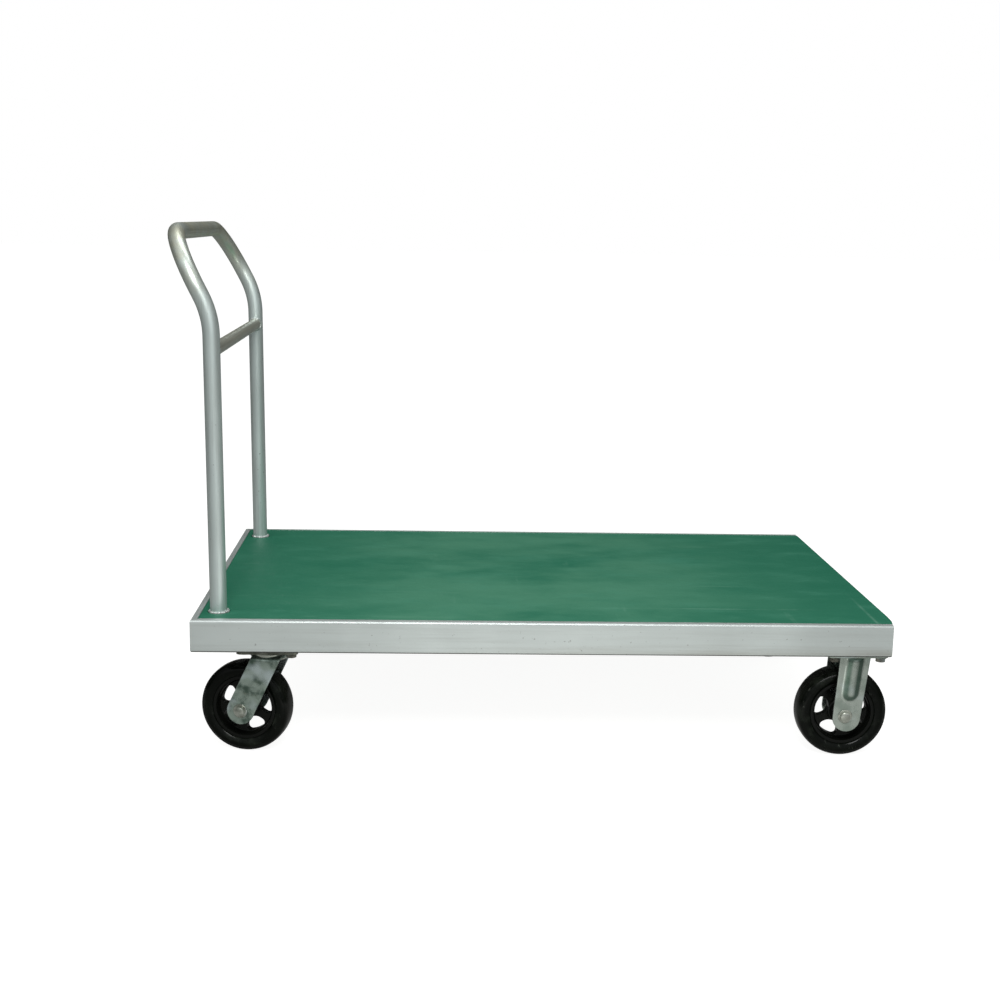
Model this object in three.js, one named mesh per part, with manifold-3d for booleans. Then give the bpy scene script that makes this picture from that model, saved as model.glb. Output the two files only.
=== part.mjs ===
// Flat platform cart: a bent-channel steel deck with a green mat, a welded tube handle,
// two swivel casters under the handle end and two rigid casters under the loading end.
// Millimetres, +Z up. +X runs from the handle end to the loading end and +Y across the deck.
// The origin is on the floor, under the centre of the whole cart's bounding box.

import * as THREE from "three";
import { mergeVertices } from "three/addons/utils/BufferGeometryUtils.js";
import Module from "manifold-3d";

const wasm = await Module();
wasm.setup();

// ---- driving dimensions ----

const gap = 0.3; // between pieces that touch or are welded together

// deck
const deckLength = 1200;
const deckWidth = 750;
const railHeight = 56;
const railWall = 2.5;
const railBend = 3.5; // outer bend radius along the top edge
const lipWidth = 14;
const flangeMargin = 2.3; // from a bolt head to the bottom flange's edge
const sheetThickness = 2;
const matThickness = 3;
const matRecess = 1.2; // the mat lies this far below the lips
const matGap = 0.5; // round the mat's edges
const matOverhangNear = 8; // past the loading end, where the mat is cut a little out of square
const matOverhangFar = 2;

// cross members under the deck
const beamWall = 2.5;
const handleSeatClearance = 2.5; // round the tube's foot
const stiffenerWidth = 40;
const stiffenerCount = 2;

// handle
const tubeDiameter = 29;
const tubeWall = 2;
const uprightFromEnd = 39.5;
const uprightFromSide = 68;
const leanAboveDeck = 508; // where the upright's and the leaning length's centre lines cross
const gripAboveDeck = 639.5;
const uprightLean = THREE.MathUtils.degToRad(0.6);
const handleLean = THREE.MathUtils.degToRad(27.5);
const leanBendRadius = 155;
const gripBendRadius = 104;
const crossbarAboveDeck = 447;
const crossbarDiameter = 23;
const crossbarWall = 1.5;
const sheetHoleClearance = 1;
const matHoleClearance = 5; // room for the weld round each upright

// wheels
const wheelDiameter = 160;
const tyreThickness = 23;
const tyreHalfWidth = 25;
const tyreShoulder = 6;
const coreHalfWidth = 20.5;
const webHalfThickness = 6;
const hubRadius = 16;
const hubHalfLength = 35;
const sleeveRadius = 8;
const boreClearance = 0.4;
const windowCount = 5;
const windowInnerRadius = 21;
const rimInsideWindow = 13; // from the windows' outer edge to the tyre
const rimLip = 8;
const webFillet = 2;
const spokeWidth = 13;
const swivelWheelAtRest = THREE.MathUtils.degToRad(-10); // how far round the windows stand
const rigidWheelAtRest = THREE.MathUtils.degToRad(5);

// casters
const forkSheet = 4;
const forkHalfGap = 36; // from the wheel's mid plane to a leg's inner face
const wheelHeadroom = 16.5; // between the wheel's top and the fork's crown
const raceHeight = 12.2; // between the crown and the swivel plate
const plateThickness = 5;
const plateLength = 105; // along the deck
const plateWidth = 137; // across it
const plateCorner = 8;
const boltSpacingX = 80;
const boltSpacingY = 105;
const boltRadius = 5;
const boltHoleClearance = 0.6;
const boltHexRadius = 9.2;
const boltHeadHeight = 6.4;
const boltNutHeight = 6;
const boltWasherHeight = 1.5;
const boltTip = 0.6;
const lowHeadHeight = 3; // of the bolts put in from below
const axleRadius = 6;
const axleHoleClearance = 0.5;
const axleHexRadius = 11;
const axleHeadHeight = 7.5;
const axleNutHeight = 10;
const axleTip = 3;
const casterFromSide = 75;
const legEndRadius = 24;

// swivel casters
const pivotFromEnd = 128.5;
const trail = 44; // from the kingpin back to the axle
const swivelAtRest = THREE.MathUtils.degToRad(12);
const crownRadius = 37;
const legTopFront = 30; // the leg's top edge, ahead of the kingpin
const legTopBack = 22; // and behind it
const kingpinRadius = 6;
const kingpinClearance = 0.5;
const kingpinHeadRadius = 11;
const kingpinHeadHeight = 6;
const raceRadius = 28;
const ballClearance = 0.7;
const raceRingWidth = 12;
const raceRingHeight = 4;

// rigid casters
const rigidPlateWidth = 125; // narrower than a swivel caster's
const rigidPlateInset = 1; // from the loading end to the plate's edge
const rigidOffset = 12; // from the plate's centre back to the axle
const rigidLegTopWidth = 53;
const rigidLegTopShift = 1; // the leg's top is this far ahead of the plate's centre
const rigidEndAhead = 2.5; // the leg's round end sits ahead of the axle
const rigidEndBelow = 3.5; // and below it
const ribWidth = 28;
const ribHeight = 4.2;
const ribAboveAxle = 28; // the pressed rib ends this far above the axle

// ---- derived heights and places ----

const axleHeight = wheelDiameter / 2;
const crownBottom = wheelDiameter + wheelHeadroom;
const crownTop = crownBottom + forkSheet;
const plateBottom = crownTop + raceHeight;
const plateTop = plateBottom + plateThickness;
const railBottom = plateTop + gap;
const flangeWidth = casterFromSide - boltSpacingY / 2 + boltHexRadius + flangeMargin;
const deckTop = railBottom + railHeight;
const matTop = deckTop - matRecess;
const matBottom = matTop - matThickness;
const sheetTop = matBottom - gap;
const sheetBottom = sheetTop - sheetThickness;

const tubeRadius = tubeDiameter / 2;
const uprightAt = (aboveDeck) => -deckLength / 2 + uprightFromEnd - aboveDeck * Math.tan(uprightLean);
const uprightX = uprightAt(0);
const uprightY = deckWidth / 2 - uprightFromSide;
const gripHeight = deckTop + gripAboveDeck;
const gripX = uprightAt(leanAboveDeck) - (gripAboveDeck - leanAboveDeck) * Math.tan(handleLean);
const handleBeamWidth = tubeDiameter + 2 * (beamWall + handleSeatClearance);
const casterY = deckWidth / 2 - casterFromSide;
const pivotX = -deckLength / 2 + pivotFromEnd;
const rigidPlateX = deckLength / 2 - rigidPlateInset - plateLength / 2;

// The handle overhangs the deck, so the deck sits off the bounding box's centre.
const handleOverhang = Math.max(0, -deckLength / 2 - (gripX - tubeRadius));
const deckCentreX = handleOverhang / 2;

const coreRadius = wheelDiameter / 2 - tyreThickness;
const windowOuterRadius = coreRadius - rimInsideWindow;
const forkHalfWidth = forkHalfGap + forkSheet;

// ---- materials ----

const silverPaint = new THREE.MeshStandardMaterial({ color: 0xb4bcbb, roughness: 0.42, metalness: 0.55 });
const greenMat = new THREE.MeshStandardMaterial({ color: 0x2f7a5c, roughness: 0.7, metalness: 0 });
const rolledSteel = new THREE.MeshStandardMaterial({ color: 0x8d9190, roughness: 0.5, metalness: 0.9 });
const zinc = new THREE.MeshStandardMaterial({ color: 0xa9b5ac, roughness: 0.35, metalness: 0.95 });
const brightFastener = new THREE.MeshStandardMaterial({ color: 0xc4c8c4, roughness: 0.28, metalness: 1 });
const blackPlastic = new THREE.MeshStandardMaterial({ color: 0x121412, roughness: 0.45, metalness: 0 });
const blackRubber = new THREE.MeshStandardMaterial({ color: 0x0d0f0d, roughness: 0.6, metalness: 0 });

// ---- shape helpers ----

// A geometry as a manifold-3d solid.
function solid(geometry) {
  const bare = geometry.index ? geometry.toNonIndexed() : geometry.clone();
  bare.deleteAttribute("normal");
  bare.deleteAttribute("uv");
  const merged = mergeVertices(bare, 1e-3);
  return new wasm.Manifold(
    new wasm.Mesh({
      numProp: 3,
      vertProperties: new Float32Array(merged.attributes.position.array),
      triVerts: new Uint32Array(merged.index.array),
    }),
  );
}

// A solid as a geometry again.
function geometryOf(manifold) {
  const made = manifold.getMesh();
  const geometry = new THREE.BufferGeometry();
  geometry.setAttribute("position", new THREE.BufferAttribute(new Float32Array(made.vertProperties), 3));
  geometry.setIndex(new THREE.BufferAttribute(new Uint32Array(made.triVerts), 1));
  geometry.computeVertexNormals();
  return geometry;
}

const cut = (body, ...tools) => geometryOf(tools.reduce((left, tool) => left.subtract(solid(tool)), solid(body)));
const join = (body, ...others) => geometryOf(others.reduce((sum, other) => sum.add(solid(other)), solid(body)));

// A flat outline pushed along +Z from z0 to z1.
function slab(outline, z0, z1, curveSegments = 6) {
  const settings = { depth: z1 - z0, bevelEnabled: false, curveSegments };
  return new THREE.ExtrudeGeometry(outline, settings).translate(0, 0, z0);
}

function polygon(points) {
  return new THREE.Shape(points.map(([x, y]) => new THREE.Vector2(x, y)));
}

function circle(radius, sides, x = 0, y = 0) {
  const turn = (2 * Math.PI) / sides;
  const points = Array.from({ length: sides }, (_, i) => [
    x + radius * Math.cos(i * turn),
    y + radius * Math.sin(i * turn),
  ]);
  return polygon(points);
}

function rectangle(width, height, x = 0, y = 0) {
  return polygon([
    [x - width / 2, y - height / 2],
    [x + width / 2, y - height / 2],
    [x + width / 2, y + height / 2],
    [x - width / 2, y + height / 2],
  ]);
}

function roundedRectangle(width, height, radius) {
  const x = width / 2 - radius;
  const y = height / 2 - radius;
  const outline = new THREE.Shape();
  outline.absarc(x, y, radius, 0, Math.PI / 2);
  outline.absarc(-x, y, radius, Math.PI / 2, Math.PI);
  outline.absarc(-x, -y, radius, Math.PI, 1.5 * Math.PI);
  outline.absarc(x, -y, radius, 1.5 * Math.PI, 2 * Math.PI);
  outline.closePath();
  return outline;
}

// A profile of [radius, height] points turned about +Y. It starts and ends on the axis.
function turned(profile, segments) {
  return new THREE.LatheGeometry(profile.map(([r, y]) => new THREE.Vector2(r, y)), segments);
}

// The same, for a profile that closes on itself round a bore.
const turnedRing = (profile, segments) => turned([...profile, profile[0]], segments);

// Turns a piece made about +Y so that it stands along +Z.
const upright = (geometry) => geometry.rotateX(Math.PI / 2);

function roundBar(radius, from, to, sides) {
  return turned([[0, from], [radius, from], [radius, to], [0, to]], sides);
}

const cart = new THREE.Group();
cart.position.x = deckCentreX;

function add(group, name, geometry, material) {
  const mesh = new THREE.Mesh(geometry, material);
  mesh.name = name;
  group.add(mesh);
  return mesh;
}

// ---- deck frame: four bent channels, mitred at the corners ----

// The channel's section: x is the distance inward from the outer face, y the height.
function channelSection(height) {
  const section = new THREE.Shape();
  section.moveTo(0, 0);
  section.lineTo(flangeWidth, 0);
  section.lineTo(flangeWidth, railWall);
  section.lineTo(railWall, railWall);
  section.lineTo(railWall, height - railWall);
  section.lineTo(lipWidth, height - railWall);
  section.lineTo(lipWidth, height);
  section.lineTo(railBend, height);
  section.absarc(railBend, height - railBend, railBend, Math.PI / 2, Math.PI);
  section.lineTo(0, 0);
  return section;
}

// A channel of that length along +X, with its outer face towards -Y.
function channel(height, length) {
  const bar = slab(channelSection(height), -length / 2, length / 2, 3);
  bar.rotateX(Math.PI / 2);
  bar.rotateZ(Math.PI / 2);
  return bar.translate(0, -deckWidth / 2, railBottom);
}

// What a corner's mitre takes away: everything on the far side of the 45 degree line through it.
function mitre(endSign, sideSign, fromSideRail, z0, z1) {
  const reach = 2 * flangeWidth;
  const near = -reach / 2;
  const shift = gap / Math.SQRT2;
  const taken = [[near + shift, near], [reach + shift, reach], [near, reach], [near, near]];
  const corner = taken.map(([a, b]) => {
    const [fromEnd, fromSide] = fromSideRail ? [a, b] : [b, a];
    return [endSign * (deckLength / 2 - fromEnd), sideSign * (deckWidth / 2 - fromSide)];
  });
  return slab(polygon(corner), z0, z1);
}

// The places of a caster plate's four bolts, from its centre.
const boltPattern = [-1, 1].flatMap((x) => [-1, 1].map((y) => [(x * boltSpacingX) / 2, (y * boltSpacingY) / 2]));

const boltDrills = [pivotX, rigidPlateX].flatMap((x) =>
  [-casterY, casterY].flatMap((y) =>
    boltPattern.map(([bx, by]) =>
      slab(circle(boltRadius + boltHoleClearance, 8, x + bx, y + by), railBottom - 1, railBottom + railWall + 1),
    ),
  ),
);

const underRails = railBottom - 1;
const overRails = deckTop + 1;
const loadEndTop = matBottom - gap; // the mat runs over the loading end's rail

for (const [side, sideSign] of [["near", -1], ["far", 1]]) {
  const bar = channel(railHeight, deckLength);
  if (sideSign > 0) bar.rotateZ(Math.PI);
  const handleEnd = mitre(-1, sideSign, true, underRails, overRails);
  const loadEnd = mitre(1, sideSign, true, underRails, loadEndTop + gap);
  add(cart, `side_rail_${side}`, cut(bar, handleEnd, loadEnd, ...boltDrills), silverPaint);
}

for (const [end, endSign, top] of [["handle", -1, deckTop], ["load", 1, loadEndTop]]) {
  const bar = channel(top - railBottom, deckWidth);
  bar.translate(0, deckWidth / 2 - deckLength / 2, 0);
  bar.rotateZ((endSign * Math.PI) / 2);
  const corners = [-1, 1].map((sideSign) => mitre(endSign, sideSign, false, underRails, overRails));
  add(cart, `end_rail_${end}`, cut(bar, ...corners, ...boltDrills), silverPaint);
}

// ---- cross members: folded channels, open upwards ----

const betweenWalls = deckWidth - 2 * (railWall + gap);
const betweenFlanges = deckWidth - 2 * (flangeWidth + gap);
const onFlanges = railBottom + railWall + gap;
const beamTop = sheetBottom - gap;

// A cross member from one x to another, across the deck.
function crossMember(fromX, toX, bottom, length) {
  const middle = (fromX + toX) / 2;
  const height = beamTop - bottom;
  const outer = rectangle(toX - fromX, height, middle, bottom + height / 2);
  const bar = slab(outer, -length / 2, length / 2).rotateX(Math.PI / 2);
  const inside = rectangle(toX - fromX - 2 * beamWall, height, middle, bottom + height / 2 + beamWall);
  const trough = slab(inside, -length, length).rotateX(Math.PI / 2);
  return cut(bar, trough, ...boltDrills);
}

// The caster beams lie flush with the frame's underside, between the rails' bottom flanges.
const besideLoadRail = deckLength / 2 - flangeWidth - gap;
const casterBeams = [
  ["handle", pivotX - plateLength / 2, pivotX + plateLength / 2],
  ["load", rigidPlateX - plateLength / 2, besideLoadRail],
];
for (const [end, fromX, toX] of casterBeams) {
  add(cart, `caster_beam_${end}`, crossMember(fromX, toX, railBottom, betweenFlanges), silverPaint);
}

// The handle's beam and the stiffeners lie on the flanges, from wall to wall.
function restingBeam(name, x, width) {
  add(cart, name, crossMember(x - width / 2, x + width / 2, onFlanges, betweenWalls), silverPaint);
}
restingBeam("handle_beam", uprightX, handleBeamWidth);
for (let i = 1; i <= stiffenerCount; i++) {
  restingBeam(`stiffener_${i}`, pivotX + ((rigidPlateX - pivotX) * i) / (stiffenerCount + 1), stiffenerWidth);
}

// ---- deck sheet and mat ----

function pierced(outline, holeRadius) {
  for (const y of [-uprightY, uprightY]) outline.holes.push(circle(holeRadius, 16, uprightX, y));
  return outline;
}

const sheetLeft = -deckLength / 2 + railWall + gap;
const sheetRight = deckLength / 2 - lipWidth - gap;
const sheetOutline = rectangle(sheetRight - sheetLeft, betweenWalls, (sheetLeft + sheetRight) / 2, 0);
add(cart, "deck_sheet", slab(pierced(sheetOutline, tubeRadius + sheetHoleClearance), sheetBottom, sheetTop), rolledSteel);

const matLeft = -deckLength / 2 + lipWidth + matGap;
const matSide = deckWidth / 2 - lipWidth - matGap;
const matOutline = polygon([
  [matLeft, -matSide],
  [deckLength / 2 + matOverhangNear, -matSide],
  [deckLength / 2 + matOverhangFar, matSide],
  [matLeft, matSide],
]);
add(cart, "deck_mat", slab(pierced(matOutline, tubeRadius + matHoleClearance), matBottom, matTop), greenMat);

// ---- handle: one bent tube and a crossbar ----

// A path of straight lengths and bends, sampled only where the tube turns.
class BentPath extends THREE.Curve {
  constructor(corners, radii, stepsPerBend) {
    super();
    this.stations = [];
    corners.forEach((corner, i) => {
      if (i === 0 || i === corners.length - 1) {
        const [a, b] = i === 0 ? [corners[0], corners[1]] : [corners[i - 1], corner];
        this.stations.push({ at: corner, along: b.clone().sub(a).normalize() });
        return;
      }
      const into = corner.clone().sub(corners[i - 1]).normalize();
      const out = corners[i + 1].clone().sub(corner).normalize();
      const turn = into.angleTo(out);
      const start = corner.clone().addScaledVector(into, -radii[i] * Math.tan(turn / 2));
      const inward = out.clone().addScaledVector(into, -out.dot(into)).normalize();
      const steps = stepsPerBend[i];
      for (let k = 0; k <= steps; k++) {
        const a = (turn * k) / steps;
        const at = start.clone().addScaledVector(into, radii[i] * Math.sin(a));
        at.addScaledVector(inward, radii[i] * (1 - Math.cos(a)));
        const along = into.clone().multiplyScalar(Math.cos(a)).addScaledVector(inward, Math.sin(a));
        this.stations.push({ at, along });
      }
    });
  }

  station(u) {
    return this.stations[Math.round(u * (this.stations.length - 1))];
  }

  getPointAt(u, target = new THREE.Vector3()) {
    return target.copy(this.station(u).at);
  }

  getTangentAt(u, target = new THREE.Vector3()) {
    return target.copy(this.station(u).along);
  }
}

const tubeFoot = onFlanges + beamWall + gap;
const handleSide = (y) => [
  new THREE.Vector3(uprightAt(tubeFoot - deckTop), y, tubeFoot),
  new THREE.Vector3(uprightAt(leanAboveDeck), y, deckTop + leanAboveDeck),
  new THREE.Vector3(gripX, y, gripHeight),
];
const handleCorners = [...handleSide(-uprightY), ...handleSide(uprightY).reverse()];
const handleRadii = [0, leanBendRadius, gripBendRadius, gripBendRadius, leanBendRadius, 0];
const handlePath = new BentPath(handleCorners, handleRadii, [0, 2, 6, 6, 2, 0]);
const tubeSides = 12;
const tubeSection = circle(tubeRadius, tubeSides);
tubeSection.holes.push(circle(tubeRadius - tubeWall, tubeSides));
const handleTube = new THREE.ExtrudeGeometry(tubeSection, {
  steps: handlePath.stations.length - 1,
  extrudePath: handlePath,
});
add(cart, "handle_tube", handleTube, silverPaint);

const crossbarSection = circle(crossbarDiameter / 2, tubeSides);
crossbarSection.holes.push(circle(crossbarDiameter / 2 - crossbarWall, tubeSides));
const crossbar = slab(crossbarSection, -uprightY, uprightY).rotateX(Math.PI / 2);
const saddles = [-uprightY, uprightY].map((y) =>
  slab(circle(tubeRadius + gap, 24, 0, y), -crossbarDiameter, crossbarDiameter),
);
const crossbarMesh = add(cart, "handle_crossbar", cut(crossbar, ...saddles), silverPaint);
crossbarMesh.position.set(uprightAt(crossbarAboveDeck), 0, deckTop + crossbarAboveDeck);

// ---- wheel: a moulded core with windows, and a rubber tyre ----

// One window between two spokes, whose sides run parallel to the spokes.
function windowOutline(index, wheelAtRest) {
  const half = Math.PI / windowCount;
  const middle = Math.PI / 2 + wheelAtRest + 2 * half * index;
  const corner = (radius) => half - Math.asin(spokeWidth / 2 / radius);
  const arc = (radius, from, to, steps) =>
    Array.from({ length: steps + 1 }, (_, k) => {
      const a = middle + from + ((to - from) * k) / steps;
      return [radius * Math.cos(a), radius * Math.sin(a)];
    });
  const inner = corner(windowInnerRadius);
  const outer = corner(windowOuterRadius);
  return polygon([...arc(windowOuterRadius, -outer, outer, 3), ...arc(windowInnerRadius, inner, -inner, 1)]);
}

const tyreSegments = 24;
const coreSegments = 20;

function wheelCore(wheelAtRest) {
  const flare = coreRadius - rimLip;
  const rim = coreRadius * Math.cos(Math.PI / tyreSegments) - gap; // clear of the tyre's flat facets
  const bore = sleeveRadius + boreClearance;
  const body = turnedRing(
    [
      [bore, -hubHalfLength],
      [hubRadius, -hubHalfLength],
      [hubRadius + webFillet, -webHalfThickness],
      [windowOuterRadius + webFillet, -webHalfThickness],
      [flare, -coreHalfWidth],
      [rim, -coreHalfWidth],
      [rim, coreHalfWidth],
      [flare, coreHalfWidth],
      [windowOuterRadius + webFillet, webHalfThickness],
      [hubRadius + webFillet, webHalfThickness],
      [hubRadius, hubHalfLength],
      [bore, hubHalfLength],
    ],
    coreSegments,
  );
  const windows = Array.from({ length: windowCount }, (_, i) =>
    slab(windowOutline(i, wheelAtRest), -coreHalfWidth, coreHalfWidth).rotateX(Math.PI / 2),
  );
  return cut(body, ...windows);
}

function tyre() {
  const outer = wheelDiameter / 2;
  const inner = coreRadius;
  const profile = [
    [inner, -coreHalfWidth],
    [outer - tyreShoulder, -tyreHalfWidth],
    [outer, -tyreHalfWidth + tyreShoulder],
    [outer, tyreHalfWidth - tyreShoulder],
    [outer - tyreShoulder, tyreHalfWidth],
    [inner, coreHalfWidth],
  ];
  return turnedRing(profile, tyreSegments);
}

// The axle's bolt, nut and sleeve lie along Y, with the head on the side that headSign says.
function axlePieces(group, name, headSign) {
  const headInner = forkHalfWidth + gap;
  const nutInner = -(forkHalfWidth + gap);
  const nutOuter = nutInner - axleNutHeight;
  const head = roundBar(axleHexRadius, headInner, headInner + axleHeadHeight, 6);
  const shank = roundBar(axleRadius, nutOuter - axleTip, headInner + 1, 12);
  const nutOutline = circle(axleHexRadius, 6);
  nutOutline.holes.push(circle(axleRadius + axleHoleClearance, 12));
  const nut = slab(nutOutline, -nutInner, -nutOuter).rotateX(Math.PI / 2);
  const sleeveSpan = forkHalfGap - gap;
  const sleeveBore = axleRadius + axleHoleClearance;
  const sleeve = turnedRing(
    [
      [sleeveBore, -sleeveSpan],
      [sleeveRadius, -sleeveSpan],
      [sleeveRadius, sleeveSpan],
      [sleeveBore, sleeveSpan],
    ],
    16,
  );
  const along = headSign > 0 ? 0 : Math.PI;
  const pieces = [["axle_bolt", join(head, shank)], ["axle_nut", nut], ["axle_sleeve", sleeve]];
  for (const [piece, geometry] of pieces) {
    add(group, `${piece}_${name}`, geometry.rotateZ(along), brightFastener).position.z = axleHeight;
  }
}

function wheelPieces(group, name, wheelAtRest) {
  add(group, `wheel_core_${name}`, wheelCore(wheelAtRest), blackPlastic).position.z = axleHeight;
  add(group, `tyre_${name}`, tyre(), blackRubber).position.z = axleHeight;
}

// ---- caster fasteners and plates ----

function drilledPlate(width, centreHole) {
  const outline = roundedRectangle(plateLength, width, plateCorner);
  for (const [x, y] of boltPattern) outline.holes.push(circle(boltRadius + boltHoleClearance, 8, x, y));
  if (centreHole) outline.holes.push(circle(centreHole, 12));
  return slab(outline, plateBottom, plateTop, 2);
}

// A hexagon bolt through rail or beam and plate, with its head above and its washer and nut below.
function boltFromAbove() {
  const seat = railBottom + railWall + gap;
  const washerTop = plateBottom - gap;
  const nutBottom = washerTop - boltWasherHeight - boltNutHeight;
  const profile = [
    [0, nutBottom - boltTip],
    [boltRadius, nutBottom - boltTip],
    [boltRadius, nutBottom],
    [boltHexRadius, nutBottom],
    [boltHexRadius, washerTop],
    [boltRadius, washerTop],
    [boltRadius, seat],
    [boltHexRadius, seat],
    [boltHexRadius, seat + boltHeadHeight],
    [0, seat + boltHeadHeight],
  ];
  return upright(turned(profile, 6));
}

// The same bolt put in from below: a low round head under the plate and the nut above.
function boltFromBelow() {
  const seat = railBottom + railWall + gap;
  const headTop = plateBottom - gap;
  const nutTop = seat + boltNutHeight;
  const profile = [
    [0, headTop - lowHeadHeight],
    [boltHexRadius - lowHeadHeight / 2, headTop - lowHeadHeight],
    [boltHexRadius, headTop],
    [boltRadius, headTop],
    [boltRadius, seat],
    [boltHexRadius, seat],
    [boltHexRadius, nutTop],
    [boltRadius, nutTop],
    [boltRadius, nutTop + boltTip],
    [0, nutTop + boltTip],
  ];
  return upright(turned(profile, 6));
}

// Four bolts round a plate. fromBelow says whether the two nearest the handle go in from below.
function plateBolts(name, x, y, fromBelow) {
  boltPattern.forEach(([bx, by], i) => {
    const bolt = fromBelow && bx < 0 ? boltFromBelow() : boltFromAbove();
    add(cart, `plate_bolt_${name}_${i + 1}`, bolt, brightFastener).position.set(x + bx, y + by, 0);
  });
}

// A fork leg's outline, in the plane of the wheel: a straight top, and a round end near the axle.
// x is along the caster's forward direction from the kingpin or the plate's centre.
function legOutline(topFront, topBack, topZ, axleX, endX, endZ) {
  const tangent = (x, turn) => {
    const dx = x - endX;
    const dz = topZ - endZ;
    return Math.atan2(dz, dx) + turn * Math.acos(legEndRadius / Math.hypot(dx, dz));
  };
  const from = tangent(-topBack, 1);
  const to = tangent(topFront, -1) + 2 * Math.PI;
  const steps = 8;
  const round = Array.from({ length: steps + 1 }, (_, k) => {
    const a = from + ((to - from) * k) / steps;
    return [endX + legEndRadius * Math.cos(a), endZ + legEndRadius * Math.sin(a)];
  });
  const outline = polygon([[topFront, topZ], [-topBack, topZ], ...round]);
  outline.holes.push(circle(axleRadius + axleHoleClearance, 12, axleX, axleHeight));
  return outline;
}

// Two legs cut from sheet, one each side of the wheel.
function legs(outline) {
  return [-1, 1].map((side) => {
    const inner = side > 0 ? forkHalfGap : -forkHalfWidth;
    return slab(outline, -inner - forkSheet, -inner).rotateX(Math.PI / 2);
  });
}

// ---- swivel casters, under the handle end ----

const kingpinBottom = crownBottom - gap - kingpinHeadHeight;

function swivelPlate() {
  const ring = turnedRing(
    [
      [raceRadius - raceRingWidth / 2, plateBottom - raceRingHeight],
      [raceRadius + raceRingWidth / 2, plateBottom - raceRingHeight],
      [raceRadius + raceRingWidth / 2, plateBottom + 1],
      [raceRadius - raceRingWidth / 2, plateBottom + 1],
    ],
    16,
  );
  return join(drilledPlate(plateWidth, kingpinRadius + kingpinClearance), upright(ring));
}

function kingpin() {
  const profile = [
    [0, kingpinBottom],
    [kingpinHeadRadius, kingpinBottom],
    [kingpinHeadRadius, kingpinBottom + kingpinHeadHeight],
    [kingpinRadius, kingpinBottom + kingpinHeadHeight],
    [kingpinRadius, plateTop - gap],
    [0, plateTop - gap],
  ];
  return upright(turned(profile, 12));
}

function ballRing() {
  const middle = (crownTop + plateBottom - raceRingHeight) / 2;
  const ballRadius = middle - crownTop - ballClearance;
  const section = Array.from({ length: 6 }, (_, i) => [
    raceRadius + ballRadius * Math.cos((i * Math.PI) / 3),
    middle + ballRadius * Math.sin((i * Math.PI) / 3),
  ]);
  return upright(turnedRing(section, 14));
}

function swivelFork() {
  const front = legTopFront;
  const back = legTopBack;
  const bridge = slab(rectangle(front + back, 2 * forkHalfWidth, (front - back) / 2, 0), crownBottom, crownTop);
  const disc = slab(circle(crownRadius, 24), crownBottom, crownTop);
  const pinHole = slab(circle(kingpinRadius + kingpinClearance, 12), crownBottom - 1, crownTop + 1);
  const outline = legOutline(front, back, crownTop, -trail, -trail, axleHeight);
  return cut(join(bridge, disc, ...legs(outline)), pinHole);
}

for (const [side, sideSign] of [["near", -1], ["far", 1]]) {
  const name = `swivel_${side}`;
  const y = sideSign * casterY;
  plateBolts(name, pivotX, y, true);
  add(cart, `swivel_plate_${side}`, swivelPlate(), zinc).position.set(pivotX, y, 0);
  add(cart, `kingpin_${side}`, kingpin(), brightFastener).position.set(pivotX, y, 0);

  // the fork's own frame: origin under the kingpin, +X towards the front of the caster
  const turning = new THREE.Group();
  turning.position.set(pivotX, y, 0);
  turning.rotation.z = -swivelAtRest;
  cart.add(turning);
  add(turning, `swivel_balls_${side}`, ballRing(), brightFastener);
  add(turning, `swivel_fork_${side}`, swivelFork(), zinc);

  const rolling = new THREE.Group();
  rolling.position.x = -trail;
  turning.add(rolling);
  axlePieces(rolling, name, sideSign);
  wheelPieces(rolling, name, swivelWheelAtRest);
}

// ---- rigid casters, under the loading end ----

function rigidFork() {
  const front = rigidLegTopWidth / 2 + rigidLegTopShift;
  const back = rigidLegTopWidth / 2 - rigidLegTopShift;
  const topZ = plateBottom + 1;
  const endX = -rigidOffset + rigidEndAhead;
  const outline = legOutline(front, back, topZ, -rigidOffset, endX, axleHeight - rigidEndBelow);

  // the pressed rib follows the leg's middle line down to its round end
  const ribTop = plateBottom - ribHeight;
  const ribFoot = axleHeight + ribAboveAxle;
  const middleAt = (z) => endX + ((rigidLegTopShift - endX) * (z - axleHeight)) / (topZ - axleHeight);
  const ribRound = Array.from({ length: 6 }, (_, k) => {
    const a = Math.PI + (Math.PI * k) / 5;
    const z = ribFoot + (ribWidth / 2) * (1 + Math.sin(a));
    return [middleAt(z) + (ribWidth / 2) * Math.cos(a), z];
  });
  const ribHead = [ribWidth / 2, -ribWidth / 2].map((x) => [middleAt(ribTop) + x, ribTop]);
  const ribs = [-1, 1].map((side) => {
    const base = side > 0 ? forkHalfWidth - 1 : -forkHalfWidth - ribHeight;
    return slab(polygon([...ribHead, ...ribRound]), base, base + ribHeight + 1).rotateX(Math.PI / 2);
  });
  return join(drilledPlate(rigidPlateWidth, 0), ...legs(outline), ...ribs);
}

for (const [side, sideSign] of [["near", -1], ["far", 1]]) {
  const name = `rigid_${side}`;
  const y = sideSign * casterY;
  plateBolts(name, rigidPlateX, y, false);
  add(cart, `rigid_fork_${side}`, rigidFork(), zinc).position.set(rigidPlateX, y, 0);
  const rolling = new THREE.Group();
  rolling.position.set(rigidPlateX - rigidOffset, y, 0);
  cart.add(rolling);
  axlePieces(rolling, name, sideSign);
  wheelPieces(rolling, name, rigidWheelAtRest);
}

export default cart;
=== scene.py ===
import math

import bmesh
import bpy
from mathutils import Matrix, Vector


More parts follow.
